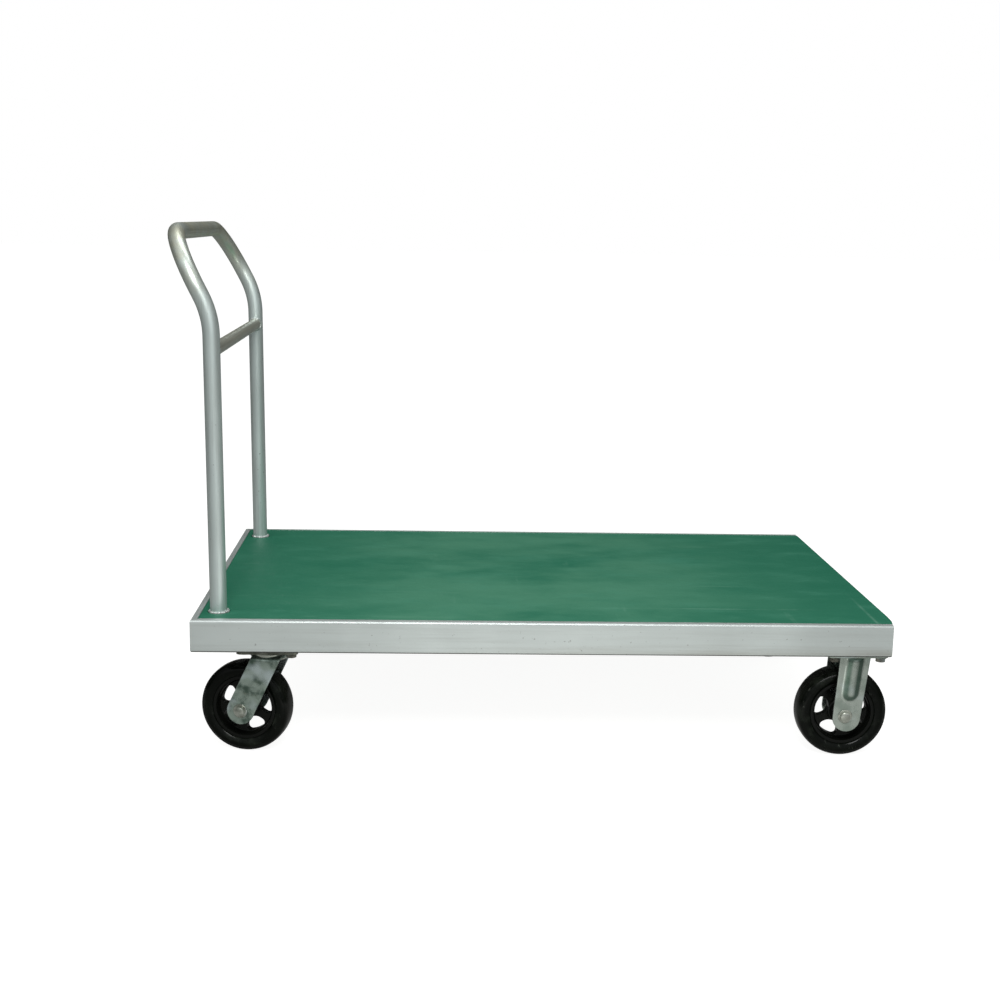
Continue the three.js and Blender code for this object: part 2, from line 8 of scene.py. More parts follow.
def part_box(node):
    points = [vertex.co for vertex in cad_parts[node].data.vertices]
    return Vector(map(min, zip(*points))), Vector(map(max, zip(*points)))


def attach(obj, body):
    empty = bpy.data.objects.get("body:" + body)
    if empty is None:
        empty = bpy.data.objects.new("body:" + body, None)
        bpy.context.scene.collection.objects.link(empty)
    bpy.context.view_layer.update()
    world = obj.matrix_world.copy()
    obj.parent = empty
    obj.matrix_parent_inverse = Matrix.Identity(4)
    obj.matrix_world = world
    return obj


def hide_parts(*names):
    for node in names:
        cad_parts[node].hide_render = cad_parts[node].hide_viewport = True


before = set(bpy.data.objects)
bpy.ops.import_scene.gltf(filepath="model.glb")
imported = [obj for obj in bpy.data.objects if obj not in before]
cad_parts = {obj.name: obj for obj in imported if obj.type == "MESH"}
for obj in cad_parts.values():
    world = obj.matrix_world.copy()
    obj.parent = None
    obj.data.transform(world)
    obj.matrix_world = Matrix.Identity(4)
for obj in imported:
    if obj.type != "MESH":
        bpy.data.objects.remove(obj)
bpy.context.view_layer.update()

# ---- floor, light and camera ----
# The cart stands on a plain pale floor in a white studio. Two large soft lights hang in front of it
# and above it, and the studio goes dark behind it, which gives the tubes their darker edges.

deck_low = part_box("side_rail_near")[0]
deck_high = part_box("side_rail_far")[1]
deck_middle = (deck_low.x + deck_high.x) / 2

scene = bpy.context.scene
scene.view_settings.view_transform = "Standard"


def set_inputs(tree, node, inputs):
    """Gives each of a node's inputs a value, or a link from another node's socket."""
    for socket, value in inputs.items():
        if isinstance(value, bpy.types.NodeSocket):
            tree.links.new(value, node.inputs[socket])
        else:
            node.inputs[socket].default_value = value


def add_node(tree, kind, inputs=None, **settings):
    node = tree.nodes.new(kind)
    for setting, value in settings.items():
        setattr(node, setting, value)
    set_inputs(tree, node, inputs or {})
    return node


def new_material(name):
    material = bpy.data.materials.new(name)
    material.use_nodes = True
    tree = material.node_tree
    return material, tree, tree.nodes["Principled BSDF"]


def put_in_scene(name, data):
    thing = bpy.data.objects.new(name, data)
    scene.collection.objects.link(thing)
    return thing


def stage_plane(name, size, height):
    mesh = bpy.data.meshes.new(name)
    half = size / 2
    corners = [(-half, -half, height), (half, -half, height), (half, half, height), (-half, half, height)]
    mesh.from_pydata(corners, [], [(0, 1, 2, 3)])
    plane = put_in_scene(name, mesh)
    return plane


# the floor is seen evenly pale, and it throws light up at the cart from a pool under the softboxes
floor = stage_plane("studio_floor", 60.0, -0.0005)
floor_paint, paint_tree, floor_shader = new_material("pale_floor")
floor_look = {"Base Color": (0.3, 0.3, 0.29, 1), "Roughness": 0.9, "Specular IOR Level": 0.0}
set_inputs(paint_tree, floor_shader, floor_look)
floor_glow = add_node(paint_tree, "ShaderNodeEmission", {"Color": (0.93, 0.93, 0.925, 1)})
floor_place = add_node(paint_tree, "ShaderNodeTexCoord")
pool_place = add_node(
    paint_tree,
    "ShaderNodeMapping",
    {"Vector": floor_place.outputs["Object"], "Location": (-0.12, 0.5, 0), "Scale": (1.1, 0.45, 0)},
)
pool_shape = add_node(
    paint_tree, "ShaderNodeTexGradient", {"Vector": pool_place.outputs[0]}, gradient_type="QUADRATIC_SPHERE"
)
pool_power = add_node(
    paint_tree, "ShaderNodeMath", {0: pool_shape.outputs["Fac"], 1: 1.3}, operation="MULTIPLY"
)
lit_pool = add_node(
    paint_tree, "ShaderNodeEmission", {"Color": (1.0, 1.0, 0.97, 1), "Strength": pool_power.outputs[0]}
)
floor_ray = add_node(paint_tree, "ShaderNodeLightPath")
glow = add_node(
    paint_tree,
    "ShaderNodeMixShader",
    {0: floor_ray.outputs["Is Camera Ray"], 1: lit_pool.outputs[0], 2: floor_glow.outputs[0]},
)
both = add_node(paint_tree, "ShaderNodeAddShader", {0: floor_shader.outputs[0], 1: glow.outputs[0]})
paint_tree.links.new(both.outputs[0], paint_tree.nodes["Material Output"].inputs["Surface"])
floor.data.materials.append(floor_paint)

studio = bpy.data.worlds.new("white_studio")
studio.use_nodes = True
scene.world = studio
walls = studio.node_tree
walls.nodes.clear()
direction = add_node(walls, "ShaderNodeTexCoord")
axes = add_node(walls, "ShaderNodeSeparateXYZ", {0: direction.outputs["Generated"]})
towards_light = add_node(
    walls, "ShaderNodeMath", {0: axes.outputs["Y"], 1: -0.8, 2: axes.outputs["Z"]}, operation="MULTIPLY_ADD"
)
shade = add_node(walls, "ShaderNodeValToRGB", {0: towards_light.outputs[0]})
dim, bright = shade.color_ramp.elements
dim.position = 0.2
dim.color = (0.035, 0.035, 0.028, 1)
bright.position = 0.95
bright.color = (0.95, 0.98, 1.0, 1)
lit = add_node(walls, "ShaderNodeBackground", {"Color": shade.outputs[0], "Strength": 0.7})
seen = add_node(walls, "ShaderNodeBackground", {"Color": (1, 1, 1, 1), "Strength": 1.0})
ray = add_node(walls, "ShaderNodeLightPath")
choice = add_node(
    walls, "ShaderNodeMixShader", {0: ray.outputs["Is Camera Ray"], 1: lit.outputs[0], 2: seen.outputs[0]}
)
add_node(walls, "ShaderNodeOutputWorld", {"Surface": choice.outputs[0]})


def soft_light(name, place, target, size, power):
    lamp = bpy.data.lights.new(name, "AREA")
    lamp.shape = "RECTANGLE"
    lamp.size, lamp.size_y = size
    lamp.energy = power
    holder = put_in_scene(name, lamp)
    holder.location = place
    holder.rotation_euler = (Vector(target) - Vector(place)).to_track_quat("-Z", "Y").to_euler()


middle_of_deck = (deck_middle - 0.1, 0, deck_high.z)
soft_light("key_softbox", (deck_middle - 0.1, -2.5, 2.3), middle_of_deck, (1.3, 1.0), 62)
soft_light("overhead_softbox", (deck_middle, 0.3, 3.2), middle_of_deck, (2.2, 1.4), 26)

eye = Vector((deck_middle - 0.1813, -2.8789, 0.9459))
eye_turn, eye_dip, eye_roll = 0.0402, 0.189, 0.019
lens_mm = 54.99
ahead = Vector(
    (math.sin(eye_turn) * math.cos(eye_dip), math.cos(eye_turn) * math.cos(eye_dip), -math.sin(eye_dip))
)
level_right = Vector((math.cos(eye_turn), -math.sin(eye_turn), 0))
level_up = level_right.cross(ahead)
right = math.cos(eye_roll) * level_right + math.sin(eye_roll) * level_up
up = math.cos(eye_roll) * level_up - math.sin(eye_roll) * level_right
camera = put_in_scene("camera", bpy.data.cameras.new("camera"))
camera.data.lens = lens_mm
camera.data.sensor_width = 36
camera.matrix_world = Matrix(
    (
        (right.x, up.x, -ahead.x, eye.x),
        (right.y, up.y, -ahead.y, eye.y),
        (right.z, up.z, -ahead.z, eye.z),
        (0, 0, 0, 1),
    )
)
scene.camera = camera

# ---- deck frame: four bent steel channels ----
# Each rail is 2.5 mm sheet folded into a channel: a narrow lip on top, the 56 mm face, and a wide
# flange below that takes the casters. The corners are mitred and welded, and the frame is sprayed
# with a silver enamel that shows the sheet's rolling marks and the knocks of use.

mm = 0.001
rail_wall = 2.5 * mm
rail_bend = 3.5 * mm
lip_width = 14 * mm
end_lip_width = 11 * mm
far_lip_width = 5 * mm
flange_width = 34 * mm
seam_gap = 0.5 * mm
rail_face = 56 * mm
rail_waviness = 0.12 * mm
deck_length = deck_high.x - deck_low.x
deck_width = deck_high.y - deck_low.y


def noise_texture(tree, scale, detail=4.0, roughness=0.5, stretch=(1, 1, 1), seed=0.0):
    """A noise in the piece's own coordinates, stretched along an axis where stretch is small."""
    place = add_node(tree, "ShaderNodeTexCoord").outputs["Object"]
    shift = (seed, seed * 0.7, seed * 1.3)
    turn = add_node(tree, "ShaderNodeMapping", {"Vector": place, "Location": shift, "Scale": stretch})
    grain = {"Vector": turn.outputs[0], "Scale": scale, "Detail": detail, "Roughness": roughness}
    return add_node(tree, "ShaderNodeTexNoise", grain).outputs["Fac"]


def own_axes(tree):
    """The piece's own coordinates, split into X, Y and Z."""
    place = add_node(tree, "ShaderNodeTexCoord").outputs["Object"]
    return add_node(tree, "ShaderNodeSeparateXYZ", {0: place}).outputs


def steps(tree, value, low, high, low_value=0.0, high_value=1.0):
    """The value mapped from low..high to low_value..high_value, and held at the ends."""
    limits = {"Value": value, "From Min": low, "From Max": high, "To Min": low_value, "To Max": high_value}
    return add_node(tree, "ShaderNodeMapRange", limits, interpolation_type="SMOOTHSTEP").outputs["Result"]


def coated(tree, under, colour, share):
    """A coat of colour by its share over what is under it, which is a colour or a socket."""
    node = add_node(tree, "ShaderNodeMix", {"Factor": share}, data_type="RGBA")
    lower, upper = [s for s in node.inputs if s.type == "RGBA"]
    if isinstance(under, bpy.types.NodeSocket):
        tree.links.new(under, lower)
    else:
        lower.default_value = (*under, 1)
    upper.default_value = (*colour, 1)
    return next(s for s in node.outputs if s.type == "RGBA")


def layered(tree, base, coats):
    """A base colour with coats of (colour, share) laid over it in turn."""
    colour_so_far = base
    for colour, share in coats:
        colour_so_far = coated(tree, colour_so_far, colour, share)
    return colour_so_far


def laid_over(material, colour, share):
    """One more coat of colour over the base colour that a material has."""
    tree = material.node_tree
    base = tree.nodes["Principled BSDF"].inputs["Base Color"]
    tree.links.new(coated(tree, base.links[0].from_socket, colour, share), base)


def times(tree, first, second):
    return add_node(tree, "ShaderNodeMath", {0: first, 1: second}, operation="MULTIPLY").outputs[0]


def height_bump(tree, shader, layers):
    """Bumps laid on each other: each layer is (socket, strength, distance in metres)."""
    below = {}
    for socket, strength, distance in layers:
        relief = {"Height": socket, "Strength": strength, "Distance": distance, **below}
        below = {"Normal": add_node(tree, "ShaderNodeBump", relief).outputs[0]}
    set_inputs(tree, shader, below)


def silver_enamel(name, stretch, base=(0.455, 0.495, 0.48), metal=0.35, dirt_and_shade_line=None):
    """Silver spray enamel over steel. stretch is small along the direction of the rolling marks."""
    material, tree, shader = new_material(name)
    cloud = noise_texture(tree, 5.0, 3.0, 0.55, seed=1.7)
    rolling = noise_texture(tree, 160.0, 3.0, 0.6, stretch, seed=4.1)
    speck = noise_texture(tree, 210.0, 2.0, 0.5, seed=9.3)
    rub = noise_texture(tree, 22.0, 6.0, 0.7, stretch, seed=2.9)
    light = tuple(1.17 * part for part in base)
    coats = [
        (light, steps(tree, cloud, 0.35, 0.7, 0.0, 0.75)),
        ((0.37, 0.395, 0.375), steps(tree, rolling, 0.42, 0.75, 0.0, 0.38)),
        ((0.27, 0.275, 0.25), steps(tree, rub, 0.56, 0.78, 0.0, 0.45)),
        ((0.16, 0.155, 0.14), steps(tree, speck, 0.71, 0.77, 0.0, 0.6)),
    ]
    if dirt_and_shade_line is not None:
        # a near-black line of painted shade lies along the lower bend, and a brown film of floor dirt
        # reaches up the face
        height = own_axes(tree)["Z"]
        film = steps(tree, height, dirt_and_shade_line + 4 * mm, dirt_and_shade_line + 22 * mm, 0.35, 0.0)
        line = steps(tree, height, dirt_and_shade_line + 1.6 * mm, dirt_and_shade_line + 3.2 * mm, 0.95, 0.0)
        coats.append(((0.2, 0.17, 0.12), times(tree, film, steps(tree, rub, 0.45, 0.7))))
        coats.append(((0.03, 0.028, 0.022), line))
    look = {"Base Color": layered(tree, base, coats), "Roughness": steps(tree, rub, 0.3, 0.75, 0.3, 0.5)}
    set_inputs(tree, shader, {**look, "Metallic": metal, "Coat Weight": 0.22, "Coat Roughness": 0.12})
    peel = noise_texture(tree, 420.0, 2.0, 0.5, seed=6.6)
    height_bump(tree, shader, [(rolling, 0.12, 0.0004), (peel, 0.12, 0.0002)])
    return material


rail_enamel_along_x = silver_enamel("silver_enamel_long_rails", (0.03, 1, 1), dirt_and_shade_line=deck_low.z)
rail_enamel_along_y = silver_enamel("silver_enamel_end_rails", (1, 0.03, 1), dirt_and_shade_line=deck_low.z)
beam_enamel = silver_enamel("silver_enamel_beams", (1, 0.03, 1))


def shade_by_angle(mesh, degrees):
    mesh.shade_smooth()
    mesh.set_sharp_from_angle(angle=math.radians(degrees))


def new_piece(name, mesh, body, replaced):
    """A finished mesh as a piece that rides on a body and stands for some nodes."""
    piece = put_in_scene(name, mesh)
    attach(piece, body)
    if replaced:
        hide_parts(*replaced)


def arc(centre, radius, start, end, count):
    """Points on an arc in degrees, as (across, up) pairs."""
    turns = [math.radians(start + (end - start) * k / count) for k in range(count + 1)]
    return [(centre[0] + radius * math.cos(a), centre[1] + radius * math.sin(a)) for a in turns]


def bridged(made, first, second):
    """Faces between two closed rings of corners."""
    for i in range(len(first)):
        j = (i + 1) % len(first)
        made.faces.new((first[i], first[j], second[j], second[i]))


def plain_mesh(made, name):
    """Ends the making of a mesh, with its faces turned outwards."""
    bmesh.ops.recalc_face_normals(made, faces=made.faces)
    mesh = bpy.data.meshes.new(name)
    made.to_mesh(mesh)
    made.free()
    return mesh


def channel_profile(height, lip):
    """The section of a rail: across is inward from the outer face, up is from the underside."""
    inner = rail_bend - rail_wall
    outside = [(flange_width, 0.0), *arc((rail_bend, rail_bend), rail_bend, 270, 180, 5)]
    outside += [(0.0, height * k / 6) for k in range(1, 6)]
    outside += [*arc((rail_bend, height - rail_bend), rail_bend, 180, 90, 7), (lip, height)]
    inside = [(lip, height - rail_wall)]
    inside += arc((rail_bend, height - rail_bend), inner, 90, 180, 3)
    inside += arc((rail_bend, rail_bend), inner, 180, 270, 3)
    return outside + inside + [(flange_width, rail_wall)]


def rail_mesh(name, length, profile, cut_back, seed):
    """A profile carried along a length. cut_back(across, up, end) says how far an end is cut back."""
    stations = 60
    long_wave, short_wave = 9.0, 23.0
    made = bmesh.new()
    rings = []
    for k in range(stations + 1):
        ring = []
        for across, rise in profile:
            start = -length / 2 + cut_back(across, rise, -1)
            stop = length / 2 - cut_back(across, rise, 1)
            along = start + (stop - start) * k / stations
            # the face is a little wavy, least at its two bends and at the welded corners
            ripple = math.sin(along * long_wave + seed) + 0.6 * math.sin(along * short_wave + 2.1 * seed)
            ripple *= rail_waviness * math.sin(math.pi * rise / rail_face) ** 2
            ring.append(made.verts.new((along, across + ripple * math.sin(math.pi * k / stations), rise)))
        rings.append(ring)
    for first, second in zip(rings, rings[1:]):
        bridged(made, first, second)
    made.faces.new(rings[0])
    made.faces.new(list(reversed(rings[-1])))
    return plain_mesh(made, name)


rail_bottom = deck_low.z
load_rail_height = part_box("end_rail_load")[1].z - rail_bottom
full_height = deck_high.z - rail_bottom


def side_cut(across, rise, end):
    under_mat = end > 0 and rise > load_rail_height
    return 0.0 if under_mat else across + seam_gap


def end_cut(across, rise, end):
    return across + seam_gap


frame_rails = [
    ("side_rail_near", deck_length, full_height, lip_width, side_cut, 0, rail_enamel_along_x),
    ("side_rail_far", deck_length, full_height, far_lip_width, side_cut, 180, rail_enamel_along_x),
    ("end_rail_handle", deck_width, full_height, end_lip_width, end_cut, -90, rail_enamel_along_y),
    ("end_rail_load", deck_width, load_rail_height, lip_width, end_cut, 90, rail_enamel_along_y),
]
for number, (node, length, height, lip, cut_back, turn, enamel) in enumerate(frame_rails):
    mesh = rail_mesh(node, length, channel_profile(height, lip), cut_back, number)
    if turn == 180:
        # the far rail is a mirror copy, so that its lapped end is at the loading end too
        mesh.transform(Matrix.Diagonal((1, -1, 1, 1)) @ Matrix.Translation((0, -deck_width / 2, 0)))
        mesh.flip_normals()
    else:
        reach = deck_width / 2 if turn == 0 else deck_length / 2
        mesh.transform(Matrix.Translation((0, -reach, 0)))
        mesh.transform(Matrix.Rotation(math.radians(turn), 4, "Z"))
    mesh.transform(Matrix.Translation((deck_middle, 0, rail_bottom)))
    shade_by_angle(mesh, 35)
    mesh.materials.append(enamel)
    new_piece(f"{node}_channel", mesh, "cart_frame", [node])

# ---- cross members and deck sheet ----
# Folded channels lie across the frame under a plain rolled sheet. They are hidden under the deck,
# sprayed with the same enamel as the rails, and the sheet is left as it came from the mill.


def refinished(node, material):
    """Gives a part that is shown as it was modelled its own finish."""
    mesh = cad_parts[node].data
    mesh.materials.clear()
    mesh.materials.append(material)


for node in ("caster_beam_handle", "caster_beam_load", "handle_beam", "stiffener_1", "stiffener_2"):
    refinished(node, beam_enamel)


def mill_steel():
    material, tree, shader = new_material("rolled_sheet")
    scale = noise_texture(tree, 9.0, 6.0, 0.65, (0.25, 1, 1), seed=3.3)
    oil = noise_texture(tree, 2.4, 3.0, 0.6, seed=8.1)
    colour = layered(
        tree,
        (0.27, 0.275, 0.28),
        [
            ((0.17, 0.165, 0.16), steps(tree, scale, 0.4, 0.7, 0.0, 0.8)),
            ((0.2, 0.15, 0.1), steps(tree, oil, 0.55, 0.8, 0.0, 0.35)),
        ],
    )
    roughness = steps(tree, oil, 0.3, 0.7, 0.38, 0.62)
    set_inputs(tree, shader, {"Base Color": colour, "Roughness": roughness, "Metallic": 0.8})
    height_bump(tree, shader, [(scale, 0.2, 0.0003)])
    return material


refinished("deck_sheet", mill_steel())

# ---- deck mat ----
# A 3 mm green sheet of rubber is glued to the deck inside the lips. Its top is satin, clouded by
# dust and shoes, with long pale scuffs where loads were dragged over it.

mat_low, mat_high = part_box("deck_mat")
out_of_square = 6 * mm  # the mat overhangs the loading end less at the far side
worn_corner = 6 * mm  # and its near corner is worn away
worn_share = 0.04  # over this share of its width
mat_edge = 1.1 * mm
mat_sink = 0.3 * mm  # the waves stay below the mat's full height
tube_low, tube_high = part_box("handle_tube")


def green_rubber():
    material, tree, shader = new_material("green_rubber")
    cloud = noise_texture(tree, 3.2, 5.0, 0.62, (1, 1.6, 1), seed=0.4)
    patch = noise_texture(tree, 11.0, 5.0, 0.65, (0.6, 1.3, 1), seed=5.2)
    scuff = noise_texture(tree, 34.0, 7.0, 0.7, (0.10, 1.0, 1), seed=7.9)
    cross_scuff = noise_texture(tree, 30.0, 7.0, 0.7, (1.0, 0.14, 1), seed=3.1)
    grain = noise_texture(tree, 900.0, 2.0, 0.5, seed=1.1)
    axes = own_axes(tree)
    along, across = axes["X"], axes["Y"]
    # the middle is painted paler than the two ends, partly wear and partly a painted pool of light, and two
    # long pale lines are painted on it, one along the near side and one across the loading end near the
    # near corner
    rise = steps(tree, along, mat_low.x, mat_low.x + 0.45, 0.0, 1.0)
    lit_and_worn_middle = times(tree, rise, steps(tree, along, mat_high.x - 0.5, mat_high.x, 1.0, 0.0))
    lit_and_worn_middle = times(tree, lit_and_worn_middle, steps(tree, cloud, 0.25, 0.65))
    near_line = steps(tree, across, mat_low.y + 92 * mm, mat_low.y + 95 * mm)
    near_fades = [
        steps(tree, across, mat_low.y + 96 * mm, mat_low.y + 100 * mm, 1.0, 0.0),
        steps(tree, along, deck_middle, mat_high.x - 0.25),
        steps(tree, along, mat_high.x - 0.16, mat_high.x - 0.06, 1.0, 0.0),
    ]
    for fade in near_fades:
        near_line = times(tree, near_line, fade)
    end_line = steps(tree, along, mat_high.x - 34 * mm, mat_high.x - 31 * mm)
    end_fades = [
        steps(tree, along, mat_high.x - 30 * mm, mat_high.x - 26 * mm, 1.0, 0.0),
        steps(tree, across, mat_low.y + 0.05, mat_low.y + 0.25, 1.0, 0.0),
    ]
    for fade in end_fades:
        end_line = times(tree, end_line, fade)
    colour = layered(
        tree,
        (0.0165, 0.142, 0.082),
        [
            ((0.06, 0.215, 0.132), times(tree, lit_and_worn_middle, 0.95)),
            ((0.045, 0.205, 0.13), steps(tree, patch, 0.5, 0.78, 0.0, 0.55)),
            ((0.12, 0.29, 0.2), steps(tree, scuff, 0.60, 0.78, 0.0, 0.5)),
            ((0.115, 0.28, 0.195), steps(tree, cross_scuff, 0.62, 0.80, 0.0, 0.45)),
            ((0.16, 0.33, 0.24), times(tree, near_line, steps(tree, patch, 0.35, 0.6, 0.0, 0.5))),
            ((0.14, 0.3, 0.22), times(tree, end_line, steps(tree, patch, 0.35, 0.6, 0.0, 0.45))),
            ((0.012, 0.1, 0.055), steps(tree, grain, 0.55, 0.8, 0.0, 0.4)),
        ],
    )
    roughness = steps(tree, patch, 0.3, 0.75, 0.46, 0.66)
    set_inputs(tree, shader, {"Base Color": colour, "Roughness": roughness, "Specular IOR Level": 0.32})
    height_bump(tree, shader, [(patch, 0.15, 0.0012), (scuff, 0.1, 0.0004), (grain, 0.25, 0.00012)])
    return material


def mat_mesh():
    """The mat's top as a fine, very slightly uneven grid with a rounded edge, closed below."""
    columns, rows = 56, 90
    left = mat_low.x - (lip_width - end_lip_width)
    size_y = mat_high.y - mat_low.y + lip_width - far_lip_width
    made = bmesh.new()
    grid = []
    for i in range(rows + 1):
        row = []
        for j in range(columns + 1):
            u, v = i / rows, j / columns
            end = mat_high.x - out_of_square * v - worn_corner * max(0.0, 1 - v / worn_share)
            x, y = left + (end - left) * u, mat_low.y + size_y * v
            wave = 0.16 * math.sin(7.1 * x + 3.3 * y) + 0.12 * math.sin(15.7 * x - 11.9 * y + 1.3)
            fade = min(1.0, 12 * min(u, 1 - u, v, 1 - v))
            row.append(made.verts.new((x, y, mat_high.z - mat_sink + wave * mm * fade)))
        grid.append(row)
    for i in range(rows):
        for j in range(columns):
            made.faces.new((grid[i][j], grid[i + 1][j], grid[i + 1][j + 1], grid[i][j + 1]))
    rim = [e for e in made.edges if e.is_boundary]
    dropped = bmesh.ops.extrude_edge_only(made, edges=rim)["geom"]
    for vert in (g for g in dropped if isinstance(g, bmesh.types.BMVert)):
        vert.co.z = mat_low.z
    bmesh.ops.bevel(made, geom=rim, offset=mat_edge, segments=3, profile=0.6, affect="EDGES")
    bmesh.ops.holes_fill(made, edges=[e for e in made.edges if e.is_boundary], sides=0)
    return plain_mesh(made, "deck_mat_sheet")


def baked(source, name):
    """The evaluated mesh of an object with modifiers, as a plain mesh; the object is removed."""
    bpy.context.view_layer.update()
    evaluated = source.evaluated_get(bpy.context.evaluated_depsgraph_get())
    mesh = bpy.data.meshes.new_from_object(evaluated)
    mesh.name = name
    bpy.data.objects.remove(source)
    return mesh


# the handle's feet stand in two round holes through the mat
handle_hole = 19.5 * mm
tube_radius = 14.5 * mm
foot_x = tube_high.x - tube_radius
foot_y = tube_high.y - tube_radius
sheet_mesh = mat_mesh()
sheet_mesh.materials.append(green_rubber())
mat_blank = put_in_scene("mat_blank", sheet_mesh)
punches = []
for side in (-1, 1):
    punch = bmesh.new()
    bmesh.ops.create_cone(
        punch,
        cap_ends=True,
        segments=48,
        radius1=handle_hole,
        radius2=handle_hole,
        depth=40 * mm,
        matrix=Matrix.Translation((foot_x, side * foot_y, mat_high.z)),
    )
    tool = put_in_scene("punch", plain_mesh(punch, "punch"))
    hole = mat_blank.modifiers.new("hole", "BOOLEAN")
    hole.operation = "DIFFERENCE"
    hole.object = tool
    hole.solver = "EXACT"
    punches.append(tool)
cut_mat = baked(mat_blank, "deck_mat_sheet")
for tool in punches:
    bpy.data.objects.remove(tool)
shade_by_angle(cut_mat, 40)
new_piece("deck_mat_sheet", cut_mat, "cart_frame", ["deck_mat"])

# ---- push handle ----
# One 29 mm steel tube is bent into a tall hoop: two uprights that stand almost straight, lean out
# over the end of the deck, and turn in to the grip. A 23 mm crossbar is welded between the
# uprights below the bends. Both carry the frame's silver enamel.

upright_lean = math.radians(0.6)
lean_height = deck_high.z + 508 * mm
grip_height = tube_high.z - tube_radius
lean_bend_radius = 155 * mm
grip_bend_radius = 104 * mm
crossbar_radius = 11.5 * mm


def tree_with(name, sizes):
    """A new geometry tree with the named inputs, and the sockets that they arrive on."""
    tree = bpy.data.node_groups.new(name, "GeometryNodeTree")
    for label, kind in {"Geometry": "Geometry", **sizes, "Material": "Material"}.items():
        tree.interface.new_socket(name=label, in_out="INPUT", socket_type=f"NodeSocket{kind}")
    tree.interface.new_socket(name="Geometry", in_out="OUTPUT", socket_type="NodeSocketGeometry")
    return tree, add_node(tree, "NodeGroupInput").outputs


def finish_tree(tree, given, geometry, smooth=True):
    """Ends a tree: shade smooth, realize the instances and set the material."""
    if smooth:
        geometry = add_node(tree, "GeometryNodeSetShadeSmooth", {"Geometry": geometry}).outputs[0]
    real = add_node(tree, "GeometryNodeRealizeInstances", {"Geometry": geometry}).outputs[0]
    finish = add_node(tree, "GeometryNodeSetMaterial", {"Geometry": real, "Material": given["Material"]})
    add_node(tree, "NodeGroupOutput", {0: finish.outputs[0]})


def grown(name, points, edges, tree, values):
    """Runs a geometry tree on a few points and edges and returns the mesh it makes."""
    seed_mesh = bpy.data.meshes.new(name)
    seed_mesh.from_pydata(points, edges, [])
    carrier = put_in_scene(name, seed_mesh)
    modifier = carrier.modifiers.new("tree", "NODES")
    modifier.node_group = tree
    for socket in tree.interface.items_tree:
        if socket.name in values:
            modifier[socket.identifier] = values[socket.name]
    return baked(carrier, name)


swept_tube, given = tree_with("swept_tube", {"Radius": "Float", "Sides": "Int"})
path = add_node(swept_tube, "GeometryNodeMeshToCurve", {0: given["Geometry"]}).outputs[0]
round_section = {"Radius": given["Radius"], "Resolution": given["Sides"]}
section = add_node(swept_tube, "GeometryNodeCurvePrimitiveCircle", round_section).outputs[0]
sweep = {"Curve": path, "Profile Curve": section, "Fill Caps": True}
finish_tree(swept_tube, given, add_node(swept_tube, "GeometryNodeCurveToMesh", sweep).outputs[0])


def bent(corners, radii, step):
    """Points along straight lengths joined by arcs, a short step apart in the arcs."""
    points = [corners[0]]
    for i in range(1, len(corners) - 1):
        into = (corners[i] - corners[i - 1]).normalized()
        out = (corners[i + 1] - corners[i]).normalized()
        turn = into.angle(out)
        start = corners[i] - into * radii[i - 1] * math.tan(turn / 2)
        inward = (out - into * out.dot(into)).normalized()
        count = max(4, round(turn * radii[i - 1] / step))
        for k in range(count + 1):
            angle = turn * k / count
            points.append(start + radii[i - 1] * (into * math.sin(angle) + inward * (1 - math.cos(angle))))
    return points + [corners[-1]]


def upright_x(height):
    return foot_x - (height - tube_low.z) * math.tan(upright_lean)


grip_x = tube_low.x + tube_radius


def handle_side(y, top):
    return [
        Vector((upright_x(tube_low.z), y, tube_low.z)),
        Vector((upright_x(lean_height), y, lean_height)),
        Vector((grip_x, y, top)),
    ]


# the hoop was bent a little out of level, with its near end the higher
near_rise, far_rise = 4 * mm, 1 * mm
handle_corners = handle_side(-foot_y, grip_height + near_rise)
handle_corners += handle_side(foot_y, grip_height + far_rise)[::-1]
handle_radii = [lean_bend_radius, grip_bend_radius, grip_bend_radius, lean_bend_radius]
handle_points = bent(handle_corners, handle_radii, 4 * mm)
chain = [(i, i + 1) for i in range(len(handle_points) - 1)]
tube_enamel = silver_enamel("silver_enamel_tube", (1, 1, 0.04), base=(0.57, 0.645, 0.625), metal=0.7)
tube_tree = tube_enamel.node_tree
# towards the grip the enamel is painted olive: partly hand grime, partly painted shade and reflection of
# the dark studio
grip_grime_and_painted_shade = times(
    tube_tree,
    steps(tube_tree, own_axes(tube_tree)["Z"], lean_height - 20 * mm, grip_height, 0.0, 0.9),
    steps(tube_tree, noise_texture(tube_tree, 26.0, 4.0, 0.6, seed=7.4), 0.3, 0.65, 0.35, 1.0),
)
laid_over(tube_enamel, (0.54, 0.545, 0.425), grip_grime_and_painted_shade)
tube_sizes = {"Radius": tube_radius, "Sides": 48, "Material": tube_enamel}
tube = grown("handle_hoop", handle_points, chain, swept_tube, tube_sizes)
shade_by_angle(tube, 40)
new_piece("handle_hoop", tube, "cart_frame", ["handle_tube"])


def middle_of(node, height=None):
    """The middle of a node's box, or the point at a height above or below it."""
    low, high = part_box(node)
    middle = (low + high) / 2
    if height is not None:
        middle.z = height
    return middle


bar_middle = middle_of("handle_crossbar")
bar_end = foot_y - tube_radius + 2 * mm
bar_steps = 12
bar_places = [-bar_end + 2 * bar_end * k / bar_steps for k in range(bar_steps + 1)]
bar_points = [Vector((bar_middle.x, y, bar_middle.z)) for y in bar_places]
